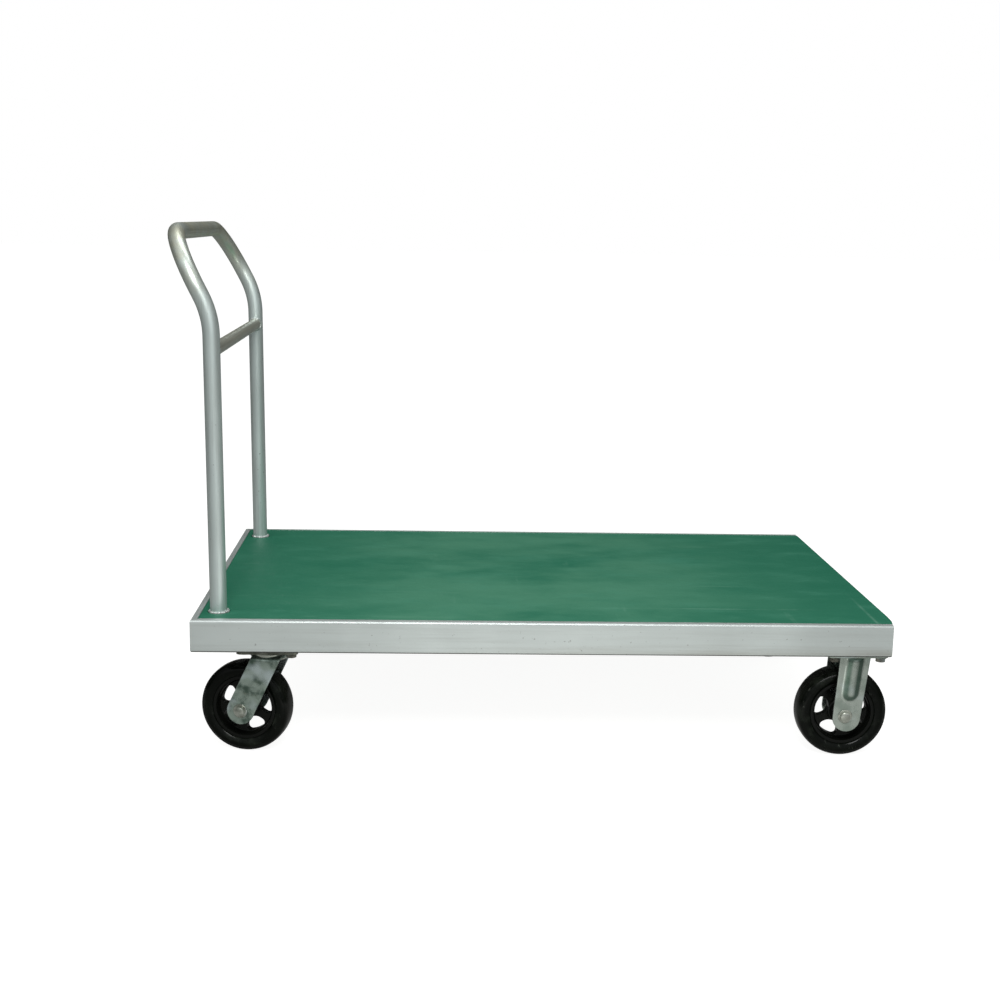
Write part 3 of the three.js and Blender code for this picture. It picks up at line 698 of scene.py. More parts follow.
# the crossbar's enamel has a darker olive base, painted shade and reflection of the dark studio on the
# level bar
bar_enamel_painted_shade = silver_enamel("silver_enamel_bar_painted_shade", (1, 0.04, 1), base=(0.5, 0.51, 0.43), metal=0.65)
bar_sizes = {"Radius": crossbar_radius, "Sides": 32, "Material": bar_enamel_painted_shade}
bar = grown("handle_bar", bar_points, [(i, i + 1) for i in range(bar_steps)], swept_tube, bar_sizes)
shade_by_angle(bar, 40)
new_piece("handle_bar", bar, "cart_frame", ["handle_crossbar"])

# ---- weld beads ----
# The handle's feet and the crossbar's ends are welded all round by hand, and the beads are
# lumpy, painted over, and brighter than the tube where the paint has rubbed off.

weld_tree, given = tree_with("weld_bead", {"Bead Radius": "Float", "Unevenness": "Float", "Seed": "Int"})
bead_radius = given["Bead Radius"]
drop_detail = 0.6 * mm
path = add_node(weld_tree, "GeometryNodeMeshToCurve", {0: given["Geometry"]}).outputs[0]
drop_places = {"Curve": path, "Length": times(weld_tree, bead_radius, 0.8)}
ripples = add_node(weld_tree, "GeometryNodeCurveToPoints", drop_places, mode="LENGTH")
smallest = add_node(weld_tree, "ShaderNodeMath", {0: 1.0, 1: given["Unevenness"]}, operation="SUBTRACT")
share_limits = {2: smallest.outputs[0], 3: 1.0, "Seed": given["Seed"]}
varied = add_node(weld_tree, "FunctionNodeRandomValue", share_limits)
drop_sizes = {
    "Points": ripples.outputs["Points"],
    "Radius": times(weld_tree, bead_radius, varied.outputs[1]),
    "Voxel Size": drop_detail,
    "Density": 1.0,
}
drops = add_node(weld_tree, "GeometryNodePointsToVolume", drop_sizes, resolution_mode="VOXEL_SIZE")
skin_sizes = {"Volume": drops.outputs[0], "Voxel Size": drop_detail, "Threshold": 0.3}
skin = add_node(weld_tree, "GeometryNodeVolumeToMesh", skin_sizes, resolution_mode="VOXEL_SIZE")
finish_tree(weld_tree, given, skin.outputs[0])


def weld_metal():
    material, tree, shader = new_material("painted_weld")
    rub = noise_texture(tree, 140.0, 4.0, 0.6, seed=2.2)
    burn = noise_texture(tree, 60.0, 4.0, 0.6, seed=6.1)
    colour = layered(
        tree,
        (0.42, 0.46, 0.44),
        [
            ((0.75, 0.79, 0.76), steps(tree, rub, 0.5, 0.62, 0.0, 0.9)),
            ((0.16, 0.16, 0.14), steps(tree, burn, 0.58, 0.72, 0.0, 0.6)),
        ],
    )
    roughness = steps(tree, rub, 0.4, 0.65, 0.42, 0.24)
    set_inputs(tree, shader, {"Base Color": colour, "Roughness": roughness, "Metallic": 0.5})
    height_bump(tree, shader, [(rub, 0.35, 0.0006)])
    return material


weld_paint = weld_metal()


def weld(name, points, radius, unevenness, seed):
    """A bead round a closed ring of points."""
    count = len(points)
    ring = [(i, (i + 1) % count) for i in range(count)]
    sizes = {"Bead Radius": radius, "Unevenness": unevenness, "Seed": seed, "Material": weld_paint}
    new_piece(name, grown(name, points, ring, weld_tree, sizes), "cart_frame", [])


foot_weld_radius = tube_radius + 1.2 * mm
bar_weld_radius = crossbar_radius + 0.4 * mm
bar_weld_sink = 0.8 * mm
for number, (side_name, side) in enumerate((("near", -1), ("far", 1))):
    foot = Vector((foot_x, side * foot_y, mat_high.z))
    reach = Vector((foot_weld_radius, 0, 0))
    circle = [foot + Matrix.Rotation(math.tau * k / 40, 3, "Z") @ reach for k in range(40)]
    weld(f"foot_weld_{side_name}", circle, 3.4 * mm, 0.45, 11 + number)
    saddle = []
    for k in range(36):
        a = math.tau * k / 36
        dx, dz = bar_weld_radius * math.cos(a), bar_weld_radius * math.sin(a)
        reach = foot_y - math.sqrt(tube_radius**2 - dx**2) - bar_weld_sink
        saddle.append(Vector((bar_middle.x + dx, side * reach, bar_middle.z + dz)))
    weld(f"bar_weld_{side_name}", saddle, 3.0 * mm, 0.35, 21 + number)

# ---- caster plates and bolts ----
# Each caster hangs from a 5 mm zinc-plated plate that four M10 hexagon bolts hold to the frame.
# The swivel plates carry the upper half of the ball race, pressed into a ring below the plate.


def zinc_plating(
    name, base=(0.36, 0.44, 0.385), dark=(0.032, 0.066, 0.046), seed=0.0, mottling=0.85, gloss=0.2
):
    """Bright zinc over pressed steel: mottled, blue-green in the shade, with dull patches and pale
    blue-white blotches of painted reflection.
    """
    material, tree, shader = new_material(name)
    mottle = noise_texture(tree, 42.0, 4.0, 0.55, seed=1.3 + seed)
    blotch = noise_texture(tree, 21.0, 2.0, 0.5, seed=4.7 + seed)
    drawn = noise_texture(tree, 240.0, 3.0, 0.6, (1, 1, 0.12), seed=3.8 + seed)
    stain_and_painted_shade = noise_texture(tree, 70.0, 6.0, 0.7, seed=8.8 + seed)
    colour = layered(
        tree,
        base,
        [
            (dark, steps(tree, mottle, 0.40, 0.64, 0.0, mottling)),
            # pale blue-white blotches of painted reflection
            ((0.66, 0.76, 0.78), steps(tree, blotch, 0.52, 0.68, 0.0, 0.8 * mottling)),
            ((0.25, 0.27, 0.2), steps(tree, stain_and_painted_shade, 0.58, 0.74, 0.0, 0.5)),
        ],
    )
    roughness = steps(tree, mottle, 0.35, 0.7, gloss, gloss + 0.18)
    set_inputs(tree, shader, {"Base Color": colour, "Roughness": roughness, "Metallic": 0.85})
    height_bump(tree, shader, [(drawn, 0.08, 0.0003), (blotch, 0.45, 0.003)])
    return material


fork_zinc = zinc_plating("zinc_forks")
# the plates and plate bolts hang in the shade under the frame, and their zinc is painted much darker than
# the forks' as painted shade
plate_zinc_painted_shade = zinc_plating("zinc_plates_painted_shade", (0.14, 0.145, 0.12), (0.04, 0.045, 0.035), seed=2.0)
bolt_zinc_painted_shade = zinc_plating("zinc_plate_bolts_painted_shade", (0.17, 0.165, 0.14), (0.05, 0.05, 0.04), seed=3.0, gloss=0.16)
fastener_zinc = zinc_plating("zinc_fasteners", (0.5, 0.52, 0.46), (0.2, 0.22, 0.18), seed=5.0, gloss=0.16)


def turned_mesh(made, profile, segments, at=(0, 0)):
    """Adds a closed ring profile of (radius, height) points, turned about a vertical line."""
    rings = []
    for k in range(segments):
        a = math.tau * k / segments
        c, s = math.cos(a), math.sin(a)
        rings.append([made.verts.new((at[0] + r * c, at[1] + r * s, height)) for r, height in profile])
    count = len(profile)
    for k in range(segments):
        first, second = rings[k], rings[(k + 1) % segments]
        for i in range(count):
            j = (i + 1) % count
            made.faces.new((first[i], second[i], second[j], first[j]))


def turned_solid(made, profile, segments, radius_at=None):
    """Adds a solid from a profile that runs from the axis below to the axis above."""
    bottom = made.verts.new((0, 0, profile[0][1]))
    top = made.verts.new((0, 0, profile[-1][1]))
    rings = []
    for radius, height in profile[1:-1]:
        ring = []
        for k in range(segments):
            a = math.tau * k / segments
            reach, rise = radius_at(a, radius, height) if radius_at else (radius, height)
            ring.append(made.verts.new((reach * math.cos(a), reach * math.sin(a), rise)))
        rings.append(ring)
    for k in range(segments):
        j = (k + 1) % segments
        made.faces.new((bottom, rings[0][j], rings[0][k]))
        made.faces.new((top, rings[-1][k], rings[-1][j]))
        for low_ring, high_ring in zip(rings, rings[1:]):
            made.faces.new((low_ring[k], low_ring[j], high_ring[j], high_ring[k]))


def mesh_from(made, name, material, angle=35):
    mesh = plain_mesh(made, name)
    shade_by_angle(mesh, angle)
    mesh.materials.append(material)
    return mesh


plate_thickness = 5 * mm
plate_corner = 8 * mm
plate_edge = 0.7 * mm
plate_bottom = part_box("swivel_plate_near")[1].z - plate_thickness
race_inner, race_outer = 22 * mm, 34 * mm
race_edge = 0.8 * mm
race_root = plate_bottom + 0.5 * mm


def caster_plate(made, node):
    """Adds a plate with rounded corners and eased edges at the top of a node's box."""
    low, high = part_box(node)
    low.z = high.z - plate_thickness
    middle = (low + high) / 2
    half_x, half_y = (high.x - low.x) / 2 - plate_corner, (high.y - low.y) / 2 - plate_corner
    outline = []
    for quarter, (sx, sy) in enumerate(((1, 1), (-1, 1), (-1, -1), (1, -1))):
        for k in range(7):
            a = math.radians(90 * quarter + 15 * k)
            outline.append((middle.x + sx * half_x, middle.y + sy * half_y, math.cos(a), math.sin(a)))
    eased = 0.3 * plate_edge
    layers = [(plate_edge, low.z), (eased, low.z + eased), (0, low.z + plate_edge)]
    layers += [(0, high.z - plate_edge), (eased, high.z - eased), (plate_edge, high.z)]
    rings = []
    for inset, height in layers:
        reach = plate_corner - inset
        rings.append([made.verts.new((x + reach * c, y + reach * s, height)) for x, y, c, s in outline])
    for first, second in zip(rings, rings[1:]):
        bridged(made, first, second)
    made.faces.new(list(reversed(rings[0])))
    made.faces.new(rings[-1])


for side in ("near", "far"):
    node = f"swivel_plate_{side}"
    race_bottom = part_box(node)[0].z
    pivot = middle_of(node)
    made = bmesh.new()
    caster_plate(made, node)
    race = [
        (race_inner, race_root),
        (race_inner, race_bottom + race_edge),
        (race_inner + race_edge, race_bottom),
        (race_outer - race_edge, race_bottom),
        (race_outer, race_bottom + race_edge),
        (race_outer + race_edge, race_root),
    ]
    turned_mesh(made, race, 72, (pivot.x, pivot.y))
    mesh = mesh_from(made, f"swivel_top_plate_{side}", plate_zinc_painted_shade)
    new_piece(f"swivel_top_plate_{side}", mesh, "cart_frame", [node])

bolt_across = 9.2 * mm
bolt_shank = 5 * mm


def hexagon(a, radius, height, low, high):
    """A hexagon's edge at an angle, with its corners turned off to a cone at both faces."""
    to_flat = (a + math.pi / 6) % (math.pi / 3) - math.pi / 6
    reach = radius * math.cos(math.pi / 6) / math.cos(to_flat)
    if min(abs(height - high), abs(height - low)) < 0.001 * mm:
        return min(reach, 0.9 * radius), height
    slope = 0.6 * max(0.0, reach - 0.93 * radius)
    return reach, height - slope if height > (low + high) / 2 else height + slope


def add_hexagon(made, low, high, radius):
    """Adds a chamfered hexagon nut or head between two heights."""
    edge = 0.9 * mm
    side = [(radius, low), (radius, low + edge), (radius, high - edge), (radius, high)]
    turned_solid(made, [(0, low), *side, (0, high)], 48, lambda a, r, h: hexagon(a, r, h, low, high))


def add_disc(made, low, high, radius, edge=0.4 * mm):
    side = [(radius - edge, low), (radius, low + edge), (radius, high - edge), (radius - edge, high)]
    turned_solid(made, [(0, low), *side, (0, high)], 40)


def add_thread(made, low, high, radius, pitch):
    """Adds a screw's end as a stack of fine ridges with a domed tip at the lower end."""
    profile = [(0, low), (radius * 0.6, low), (radius * 0.85, low + 0.5 * mm)]
    tip = 0.8 * mm
    turns = max(1, round((high - low - tip) / pitch))
    step = (high - low - tip) / turns
    for k in range(turns):
        base = low + tip + step * k
        profile += [(radius * 0.9, base), (radius, base + step / 2)]
    turned_solid(made, profile + [(radius * 0.9, high), (0, high)], 32)


washer_top = plate_bottom - 0.3 * mm
washer_bottom = washer_top - 1.5 * mm
nut_bottom = washer_bottom - 6 * mm


def bolt_from_above():
    low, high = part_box("plate_bolt_rigid_near_1")
    made = bmesh.new()
    add_hexagon(made, high.z - 6.4 * mm, high.z, bolt_across)
    add_disc(made, washer_bottom, washer_top, bolt_across + 1.0 * mm)
    add_hexagon(made, nut_bottom, washer_bottom, bolt_across)
    add_thread(made, low.z, nut_bottom + 0.8 * mm, bolt_shank, 1.0 * mm)
    return mesh_from(made, "bolt_from_above", bolt_zinc_painted_shade, 30)


def bolt_from_below():
    low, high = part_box("plate_bolt_swivel_near_1")
    made = bmesh.new()
    dome = [(4 * mm, low.z), (7 * mm, low.z + 0.6 * mm), (bolt_across - 0.4 * mm, washer_top - 0.9 * mm)]
    turned_solid(made, [(0, low.z), *dome, (bolt_across, washer_top), (0, washer_top)], 40)
    add_hexagon(made, high.z - 6.6 * mm, high.z - 0.6 * mm, bolt_across)
    add_disc(made, high.z - 0.8 * mm, high.z, bolt_shank)
    return mesh_from(made, "bolt_from_below", bolt_zinc_painted_shade, 30)


bolt_tree, given = tree_with("bolts_at_points", {"Bolt": "Object", "Seed": "Int"})
whole = add_node(bolt_tree, "GeometryNodeObjectInfo", {"Object": given["Bolt"]}).outputs["Geometry"]
turn_limits = {0: (0, 0, 0), 1: (0, 0, math.tau), "Seed": given["Seed"]}
any_turn = add_node(bolt_tree, "FunctionNodeRandomValue", turn_limits, data_type="FLOAT_VECTOR").outputs[0]
placed = {"Points": given["Geometry"], "Instance": whole, "Rotation": any_turn}
all_bolts = add_node(bolt_tree, "GeometryNodeInstanceOnPoints", placed).outputs[0]
finish_tree(bolt_tree, given, all_bolts, smooth=False)


def bolts(name, mesh, nodes, seed):
    """One piece that holds a bolt at the centre of each of the given nodes."""
    pattern = put_in_scene(f"{name}_pattern", mesh)
    points = [middle_of(node, 0) for node in nodes]
    values = {"Bolt": pattern, "Seed": seed, "Material": bolt_zinc_painted_shade}
    mesh = grown(name, points, [], bolt_tree, values)
    bpy.data.objects.remove(pattern)
    new_piece(name, mesh, "cart_frame", nodes)


swivel_bolts = [f"plate_bolt_swivel_{side}_{i}" for side in ("near", "far") for i in (1, 2, 3, 4)]
rigid_bolts = [f"plate_bolt_rigid_{side}_{i}" for side in ("near", "far") for i in (1, 2, 3, 4)]
from_below = [node for node in swivel_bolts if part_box(node)[0].z > plate_bottom - 5 * mm]
from_above = [node for node in swivel_bolts + rigid_bolts if node not in from_below]
bolts("plate_bolts_from_above", bolt_from_above(), from_above, 3)
bolts("plate_bolts_from_below", bolt_from_below(), from_below, 8)

# ---- swivel casters ----
# The fork is one pressing of 4 mm steel: a crown with two legs bent down from it, which trail
# back to the axle. A round cup on the crown holds the lower half of the ball race, and the
# kingpin is riveted through all of it.

swivel_rest = math.radians(12)
trail = 44 * mm
axle_height = 80 * mm
leg_end_radius = 24 * mm
leg_middle = 38 * mm  # from the wheel's middle to the middle of a leg's sheet
fork_sheet = 4 * mm
crown_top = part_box("swivel_fork_near")[1].z
leg_top_front, leg_top_back = 30 * mm, 22 * mm
cup_radius = 37 * mm


def leg_edges(height, top_front, top_back, top_height, end):
    """Where a leg's front and back edges are at a height: straight down to a round end."""

    def edge(top_x, side):
        away = math.hypot(top_x - end[0], top_height - end[1])
        start = math.atan2(top_height - end[1], top_x - end[0])
        a = start - side * math.acos(leg_end_radius / away)
        touch = (end[0] + leg_end_radius * math.cos(a), end[1] + leg_end_radius * math.sin(a))
        if height >= touch[1]:
            share = (height - touch[1]) / (top_height - touch[1])
            return touch[0] + (top_x - touch[0]) * share
        below = max(-leg_end_radius, height - end[1])
        return end[0] + side * math.sqrt(max(0.0, leg_end_radius**2 - below**2))

    return edge(top_front, 1), edge(-top_back, -1)


def fork_path(top_height, bend, foot_height, leg_steps, bend_steps, crown_steps):
    """Stations from the foot of one leg, up, over the crown and down the other leg: (y, z)."""
    half = leg_middle
    # the foot is followed from 4 to 80 degrees round its half circle
    foot_turns = [math.radians(4 + 9.5 * k) for k in range(9)]
    leg = [(half, foot_height - leg_end_radius * math.cos(a)) for a in foot_turns]
    low, high = leg[-1][1], top_height - bend
    leg += [(half, low + (high - low) * k / leg_steps) for k in range(1, leg_steps + 1)]
    for k in range(1, bend_steps + 1):
        a = math.pi / 2 * k / bend_steps
        leg.append((half - bend * (1 - math.cos(a)), high + bend * math.sin(a)))
    over = half - bend
    crown = [(over - 2 * over * k / crown_steps, top_height) for k in range(1, crown_steps)]
    return leg + crown + [(-y, z) for y, z in reversed(leg)]


def sheet_fork(name, path, edges_at, columns, push=None):
    """A pressed sheet that follows a path, as wide as edges_at says, given its thickness after."""
    made = bmesh.new()
    rows = []
    for y, z in path:
        front, back = edges_at(y, z)
        row = []
        for k in range(columns + 1):
            x = back + (front - back) * k / columns
            out = push(x, z) if push else 0.0
            row.append(made.verts.new((x, y + math.copysign(out, y), z)))
        rows.append(row)
    for first, second in zip(rows, rows[1:]):
        for k in range(columns):
            made.faces.new((first[k], first[k + 1], second[k + 1], second[k]))
    blank = put_in_scene(name, plain_mesh(made, name))
    wall = blank.modifiers.new("wall", "SOLIDIFY")
    wall.thickness = fork_sheet
    wall.offset = 0
    wall.use_even_offset = True
    eased = blank.modifiers.new("eased", "BEVEL")
    eased.width = 0.6 * mm
    eased.segments = 2
    eased.limit_method = "ANGLE"
    eased.angle_limit = math.radians(50)
    return baked(blank, name)


def joined(name, meshes, material):
    """One or more meshes as one, shaded by angle and in one material."""
    made = bmesh.new()
    for mesh in meshes:
        made.from_mesh(mesh)
    whole_mesh = bpy.data.meshes.new(name)
    made.to_mesh(whole_mesh)
    made.free()
    shade_by_angle(whole_mesh, 38)
    whole_mesh.materials.clear()
    whole_mesh.materials.append(material)
    return whole_mesh


def moved(mesh, matrix):
    copy = mesh.copy()
    copy.transform(matrix)
    return copy


crown_middle = crown_top - fork_sheet / 2
crown_bend = 7 * mm
crown_radius = cup_radius - 2 * mm


def swivel_edges(y, z):
    front, back = leg_edges(z, leg_top_front, leg_top_back, crown_top, (-trail, axle_height))
    inboard = leg_middle - crown_bend
    if abs(y) < inboard:
        bulge = math.cos(math.pi / 2 * abs(y) / inboard) ** 0.7
        front += (crown_radius - leg_top_front) * bulge
        back -= (crown_radius - leg_top_back) * bulge
    return front, back


cup_zinc = zinc_plating("zinc_cups", (0.5, 0.52, 0.46), (0.12, 0.14, 0.11), 1.0, 0.5, 0.14)


def swivel_cup():
    """The round cup on the crown that holds the balls, with a rolled rim."""
    made = bmesh.new()
    under = crown_top - 10.5 * mm
    rim = crown_top + 3.2 * mm
    shoulder = 9 * mm
    profile = [
        (12 * mm, crown_top - fork_sheet),
        (16 * mm, under + 1.2 * mm),
        (19 * mm, under),
        *arc((cup_radius - shoulder, under + shoulder), shoulder, -90, 0, 9),
        (cup_radius + 0.2 * mm, rim - 1.4 * mm),
        (cup_radius - 0.6 * mm, rim - 0.3 * mm),
        (cup_radius - 1.8 * mm, rim),
        (cup_radius - 3.0 * mm, rim - 0.6 * mm),
        (cup_radius - 3.6 * mm, crown_top + 0.8 * mm),
        (12 * mm, crown_top + 0.4 * mm),
    ]
    turned_mesh(made, profile, 96)
    return mesh_from(made, "swivel_cup", cup_zinc)


ring_sizes = {"Ring Radius": "Float", "Balls": "Int", "Ball Radius": "Float"}
ball_tree, given = tree_with("ring_of_balls", ring_sizes)
race_line = add_node(ball_tree, "GeometryNodeCurvePrimitiveCircle", {"Radius": given["Ring Radius"]})
race_places = {"Curve": race_line.outputs[0], "Count": given["Balls"]}
race_points = add_node(ball_tree, "GeometryNodeCurveToPoints", race_places, mode="COUNT").outputs["Points"]
ball_shape = {"Radius": given["Ball Radius"], "Subdivisions": 3}
ball = add_node(ball_tree, "GeometryNodeMeshIcoSphere", ball_shape).outputs[0]
all_balls = add_node(ball_tree, "GeometryNodeInstanceOnPoints", {"Points": race_points, "Instance": ball})
finish_tree(ball_tree, given, all_balls.outputs[0])

swivel_path = fork_path(crown_middle, crown_bend, axle_height, leg_steps=14, bend_steps=6, crown_steps=10)
swivel_sheet = sheet_fork("swivel_fork_sheet", swivel_path, swivel_edges, 16)
swivel_fork_mesh = joined("swivel_fork_sheet", [swivel_sheet], fork_zinc)
swivel_cup_mesh = swivel_cup()
steel_ball = zinc_plating("bearing_steel", (0.5, 0.5, 0.5), (0.25, 0.25, 0.25), seed=7.0)
balls_in_ring = 26
ball_ring_radius = (race_inner + race_outer) / 2

swivel_frames = {}
for side in ("near", "far"):
    pivot = middle_of(f"swivel_plate_{side}", 0)
    turned = Matrix.Translation(pivot) @ Matrix.Rotation(-swivel_rest, 4, "Z")
    swivel_frames[side] = turned
    body = f"swivel_caster_{side}"
    fork_mesh = moved(swivel_fork_mesh, turned)
    new_piece(f"swivel_fork_pressing_{side}", fork_mesh, body, [f"swivel_fork_{side}"])
    new_piece(f"swivel_race_cup_{side}", moved(swivel_cup_mesh, turned), body, [])
    ball_low, ball_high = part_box(f"swivel_balls_{side}")
    sizes = {
        "Ring Radius": ball_ring_radius,
        "Balls": balls_in_ring,
        "Ball Radius": (ball_high.z - ball_low.z) / 2,
        "Material": steel_ball,
    }
    balls = grown(f"bearing_balls_{side}", [Vector((0, 0, 0))], [], ball_tree, sizes)
    balls.transform(Matrix.Translation((pivot.x, pivot.y, (ball_low.z + ball_high.z) / 2)))
    new_piece(f"bearing_balls_{side}", balls, body, [f"swivel_balls_{side}"])
    refinished(f"kingpin_{side}", fastener_zinc)

# ---- rigid casters ----
# The fixed fork is a pressing too: a plate with two straight legs under it, each stiffened by a
# long raised rib that ends in a half round above the axle.

rigid_plate_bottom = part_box("rigid_fork_near")[1].z - plate_thickness
rigid_offset = 12 * mm
rigid_leg_end = (-rigid_offset + 2.5 * mm, axle_height - 3.5 * mm)
rigid_top_front, rigid_top_back = 27.5 * mm, 25.5 * mm
rib_width = 29 * mm
rib_height = 5.4 * mm
rib_foot = axle_height + 28 * mm
rigid_bend = 4 * mm
crown_spread = 6 * mm
flare_width, flare_height = 9 * mm, 21 * mm


def rigid_edges(y, z):
    front, back = leg_edges(z, rigid_top_front, rigid_top_back, rigid_plate_bottom, rigid_leg_end)
    inboard = leg_middle - rigid_bend
    if abs(y) < inboard:
        spread = crown_spread * math.cos(math.pi / 2 * abs(y) / inboard) ** 0.6
        front += spread
        back -= spread
    elif y > 0:
        # the inboard leg widens towards the plate behind the wheel
        back -= flare_width * max(0.0, 1 - (rigid_plate_bottom - z) / flare_height)
    return front, back


def rib_push(x, z):
    """How far the rib stands out of the leg at a place: a smooth ridge with a half-round foot."""
    share = (z - axle_height) / (rigid_plate_bottom - axle_height)
    middle = rigid_leg_end[0] + 0.6 * mm + (1 * mm - rigid_leg_end[0]) * share
    across = (x - middle) / (rib_width / 2)
    foot_centre = rib_foot + rib_width / 2
    if z < foot_centre:
        across = math.hypot(across, (z - foot_centre) / (rib_width / 2))
    across = min(1.0, abs(across))
    top = min(1.0, max(0.0, (rigid_plate_bottom - 2 * mm - z) / (10 * mm)))
    shape = math.sqrt(max(0.0, 1 - across**2)) ** 1.5
    return rib_height * shape * (0.4 + 0.6 * top)


def rib_zinc():
    """Flatter plating than the swivel forks', with painted shade in dark green on the rib's flanks."""
    base, dark = (0.46, 0.515, 0.465), (0.22, 0.28, 0.235)
    material = zinc_plating("zinc_rigid_forks", base, dark, seed=9.0, mottling=0.55)
    tree = material.node_tree
    flank_shade = add_node(tree, "ShaderNodeAttribute", attribute_name="rib_flank_painted_shade")
    laid_over(material, (0.04, 0.085, 0.06), times(tree, flank_shade.outputs["Fac"], 0.85))
    return material


rigid_zinc = rib_zinc()
rigid_crown = rigid_plate_bottom - fork_sheet / 2
rigid_path = fork_path(rigid_crown, rigid_bend, rigid_leg_end[1], leg_steps=44, bend_steps=4, crown_steps=8)
rigid_sheet = sheet_fork("rigid_fork_sheet", rigid_path, rigid_edges, 30, rib_push)
for side in ("near", "far"):
    centre = middle_of(f"rigid_fork_{side}", 0)
    made = bmesh.new()
    caster_plate(made, f"rigid_fork_{side}")
    legs = moved(rigid_sheet, Matrix.Translation(centre))
    parts = [legs, plain_mesh(made, "rigid_plate")]
    whole_fork = joined(f"rigid_fork_pressing_{side}", parts, rigid_zinc)
    flank_shade = whole_fork.attributes.new("rib_flank_painted_shade", "FLOAT", "POINT")
    for vert, value in zip(whole_fork.vertices, flank_shade.data):
        on_leg = abs(vert.co.y - centre.y) > leg_middle - fork_sheet
        below_plate = vert.co.z < rigid_plate_bottom - 1 * mm
        share = rib_push(vert.co.x - centre.x, vert.co.z) / rib_height
        # the rib's flanks, clear of its crest and of the flat leg, are given painted shade
        stain_and_painted_shade = min(1.0, 3.2 * share) * min(1.0, 6 * (1 - share))
        value.value = stain_and_painted_shade if on_leg and below_plate else 0.0
    new_piece(f"rigid_fork_pressing_{side}", whole_fork, "cart_frame", [f"rigid_fork_{side}"])

# ---- axles ----
# A 12 mm hexagon bolt runs through both legs and the wheel's spacer sleeve, with a washer under
# its head and a nut on the far side. The wheel turns on the sleeve, which the nut clamps.

axle_across = 9.8 * mm
axle_washer = 12.4 * mm
axle_radius = 6 * mm
head_turn = math.radians(17)
leg_face = leg_middle + fork_sheet / 2


def axle_head():
    """The bolt's head and washer, outside a leg, along +Z from the wheel's middle."""
    made = bmesh.new()
    add_disc(made, leg_face + 0.1 * mm, leg_face + 1.9 * mm, axle_washer, edge=0.7 * mm)
    add_hexagon(made, leg_face + 1.8 * mm, leg_face + 6.0 * mm, axle_across)
    dome_radius, dome_foot, dome_rise = 8.2 * mm, leg_face + 5.4 * mm, 2.1 * mm
    dome = [(0, dome_foot - 0.4 * mm), (dome_radius, dome_foot - 0.4 * mm)]
    for k in range(6):
        a = math.radians(15 * k)
        dome.append((dome_radius * math.cos(a), dome_foot + dome_rise * math.sin(a)))
    turned_solid(made, dome + [(0, dome_foot + dome_rise)], 40)
    add_disc(made, -leg_face - 2 * mm, leg_face, axle_radius)
    return mesh_from(made, "axle_head", fastener_zinc, 30)


def axle_tail():
    """The nut, its washer and the bolt's threaded end, on the other side, along -Z."""
    made = bmesh.new()
    add_disc(made, -leg_face - 1.9 * mm, -leg_face - 0.3 * mm, axle_washer)
    add_hexagon(made, -leg_face - 10.3 * mm, -leg_face - 1.9 * mm, axle_across)
    add_thread(made, -leg_face - 13.0 * mm, -leg_face - 10.2 * mm, axle_radius, 1.1 * mm)
    return mesh_from(made, "axle_tail", fastener_zinc, 30)


head_mesh, tail_mesh = axle_head(), axle_tail()
wheel_frames = {}
for kind in ("swivel", "rigid"):
    for side, outward in (("near", -1), ("far", 1)):
        name = f"{kind}_{side}"
        if kind == "swivel":
            hub = swivel_frames[side] @ Matrix.Translation((-trail, 0, axle_height))
            body = f"swivel_caster_{side}"
        else:
            hub = Matrix.Translation(middle_of(f"tyre_rigid_{side}"))
            body = "cart_frame"
        wheel_frames[name] = hub
        # the bolt is made along +Z and laid along the axle, its head to the outside of the cart
        laid = hub @ Matrix.Rotation(math.radians(-90 * outward), 4, "X")
        laid @= Matrix.Rotation(head_turn, 4, "Z")
        for piece_name, source, node in (
            (f"axle_bolt_head_{name}", head_mesh, f"axle_bolt_{name}"),
            (f"axle_lock_nut_{name}", tail_mesh, f"axle_nut_{name}"),
        ):
            new_piece(piece_name, moved(source, laid), body, [node])
        refinished(f"axle_sleeve_{name}", fastener_zinc)

# ---- wheel cores ----
# Each core is one moulding of black plastic: a long hub, a thin web with five kidney-shaped
# windows between its spokes, and a flanged rim that the tyre is moulded on to.

window_count = 5
window_inner, window_outer = 21.5 * mm, 46 * mm
spoke_half = 6.5 * mm
window_corner = 10 * mm
windows_at_rest = {"swivel": math.radians(-10), "rigid": math.radians(5)}
# each point is a radius and a half width, in millimetres
core_profile = [
    (8.6, 35.0),
    (14.6, 35.0),
    (16.0, 33.8),
    (16.8, 24.0),
    (17.6, 14.0),
    (18.6, 9.6),
    (20.4, 7.6),
]
web_half = 7.0 * mm
rim_profile = [
    (47.0, 7.6),
    (48.2, 9.6),
    (49.2, 14.6),
    (49.9, 18.8),
    (51.2, 20.5),
    (54.6, 20.9),
    (56.4, 20.5),
]


def window_half_angle(radius):
    """Half the angle that a window takes up at a radius, with its corners rounded."""
    to_spoke = math.pi / window_count - math.asin(spoke_half / radius)
    half = to_spoke * radius
    for edge in (radius - window_inner, window_outer - radius):
        if edge < window_corner:
            t = 1 - edge / window_corner
            half -= window_corner * (1 - math.sqrt(max(0.0, 1 - t * t)))
    return max(half, 0.5 * mm) / radius


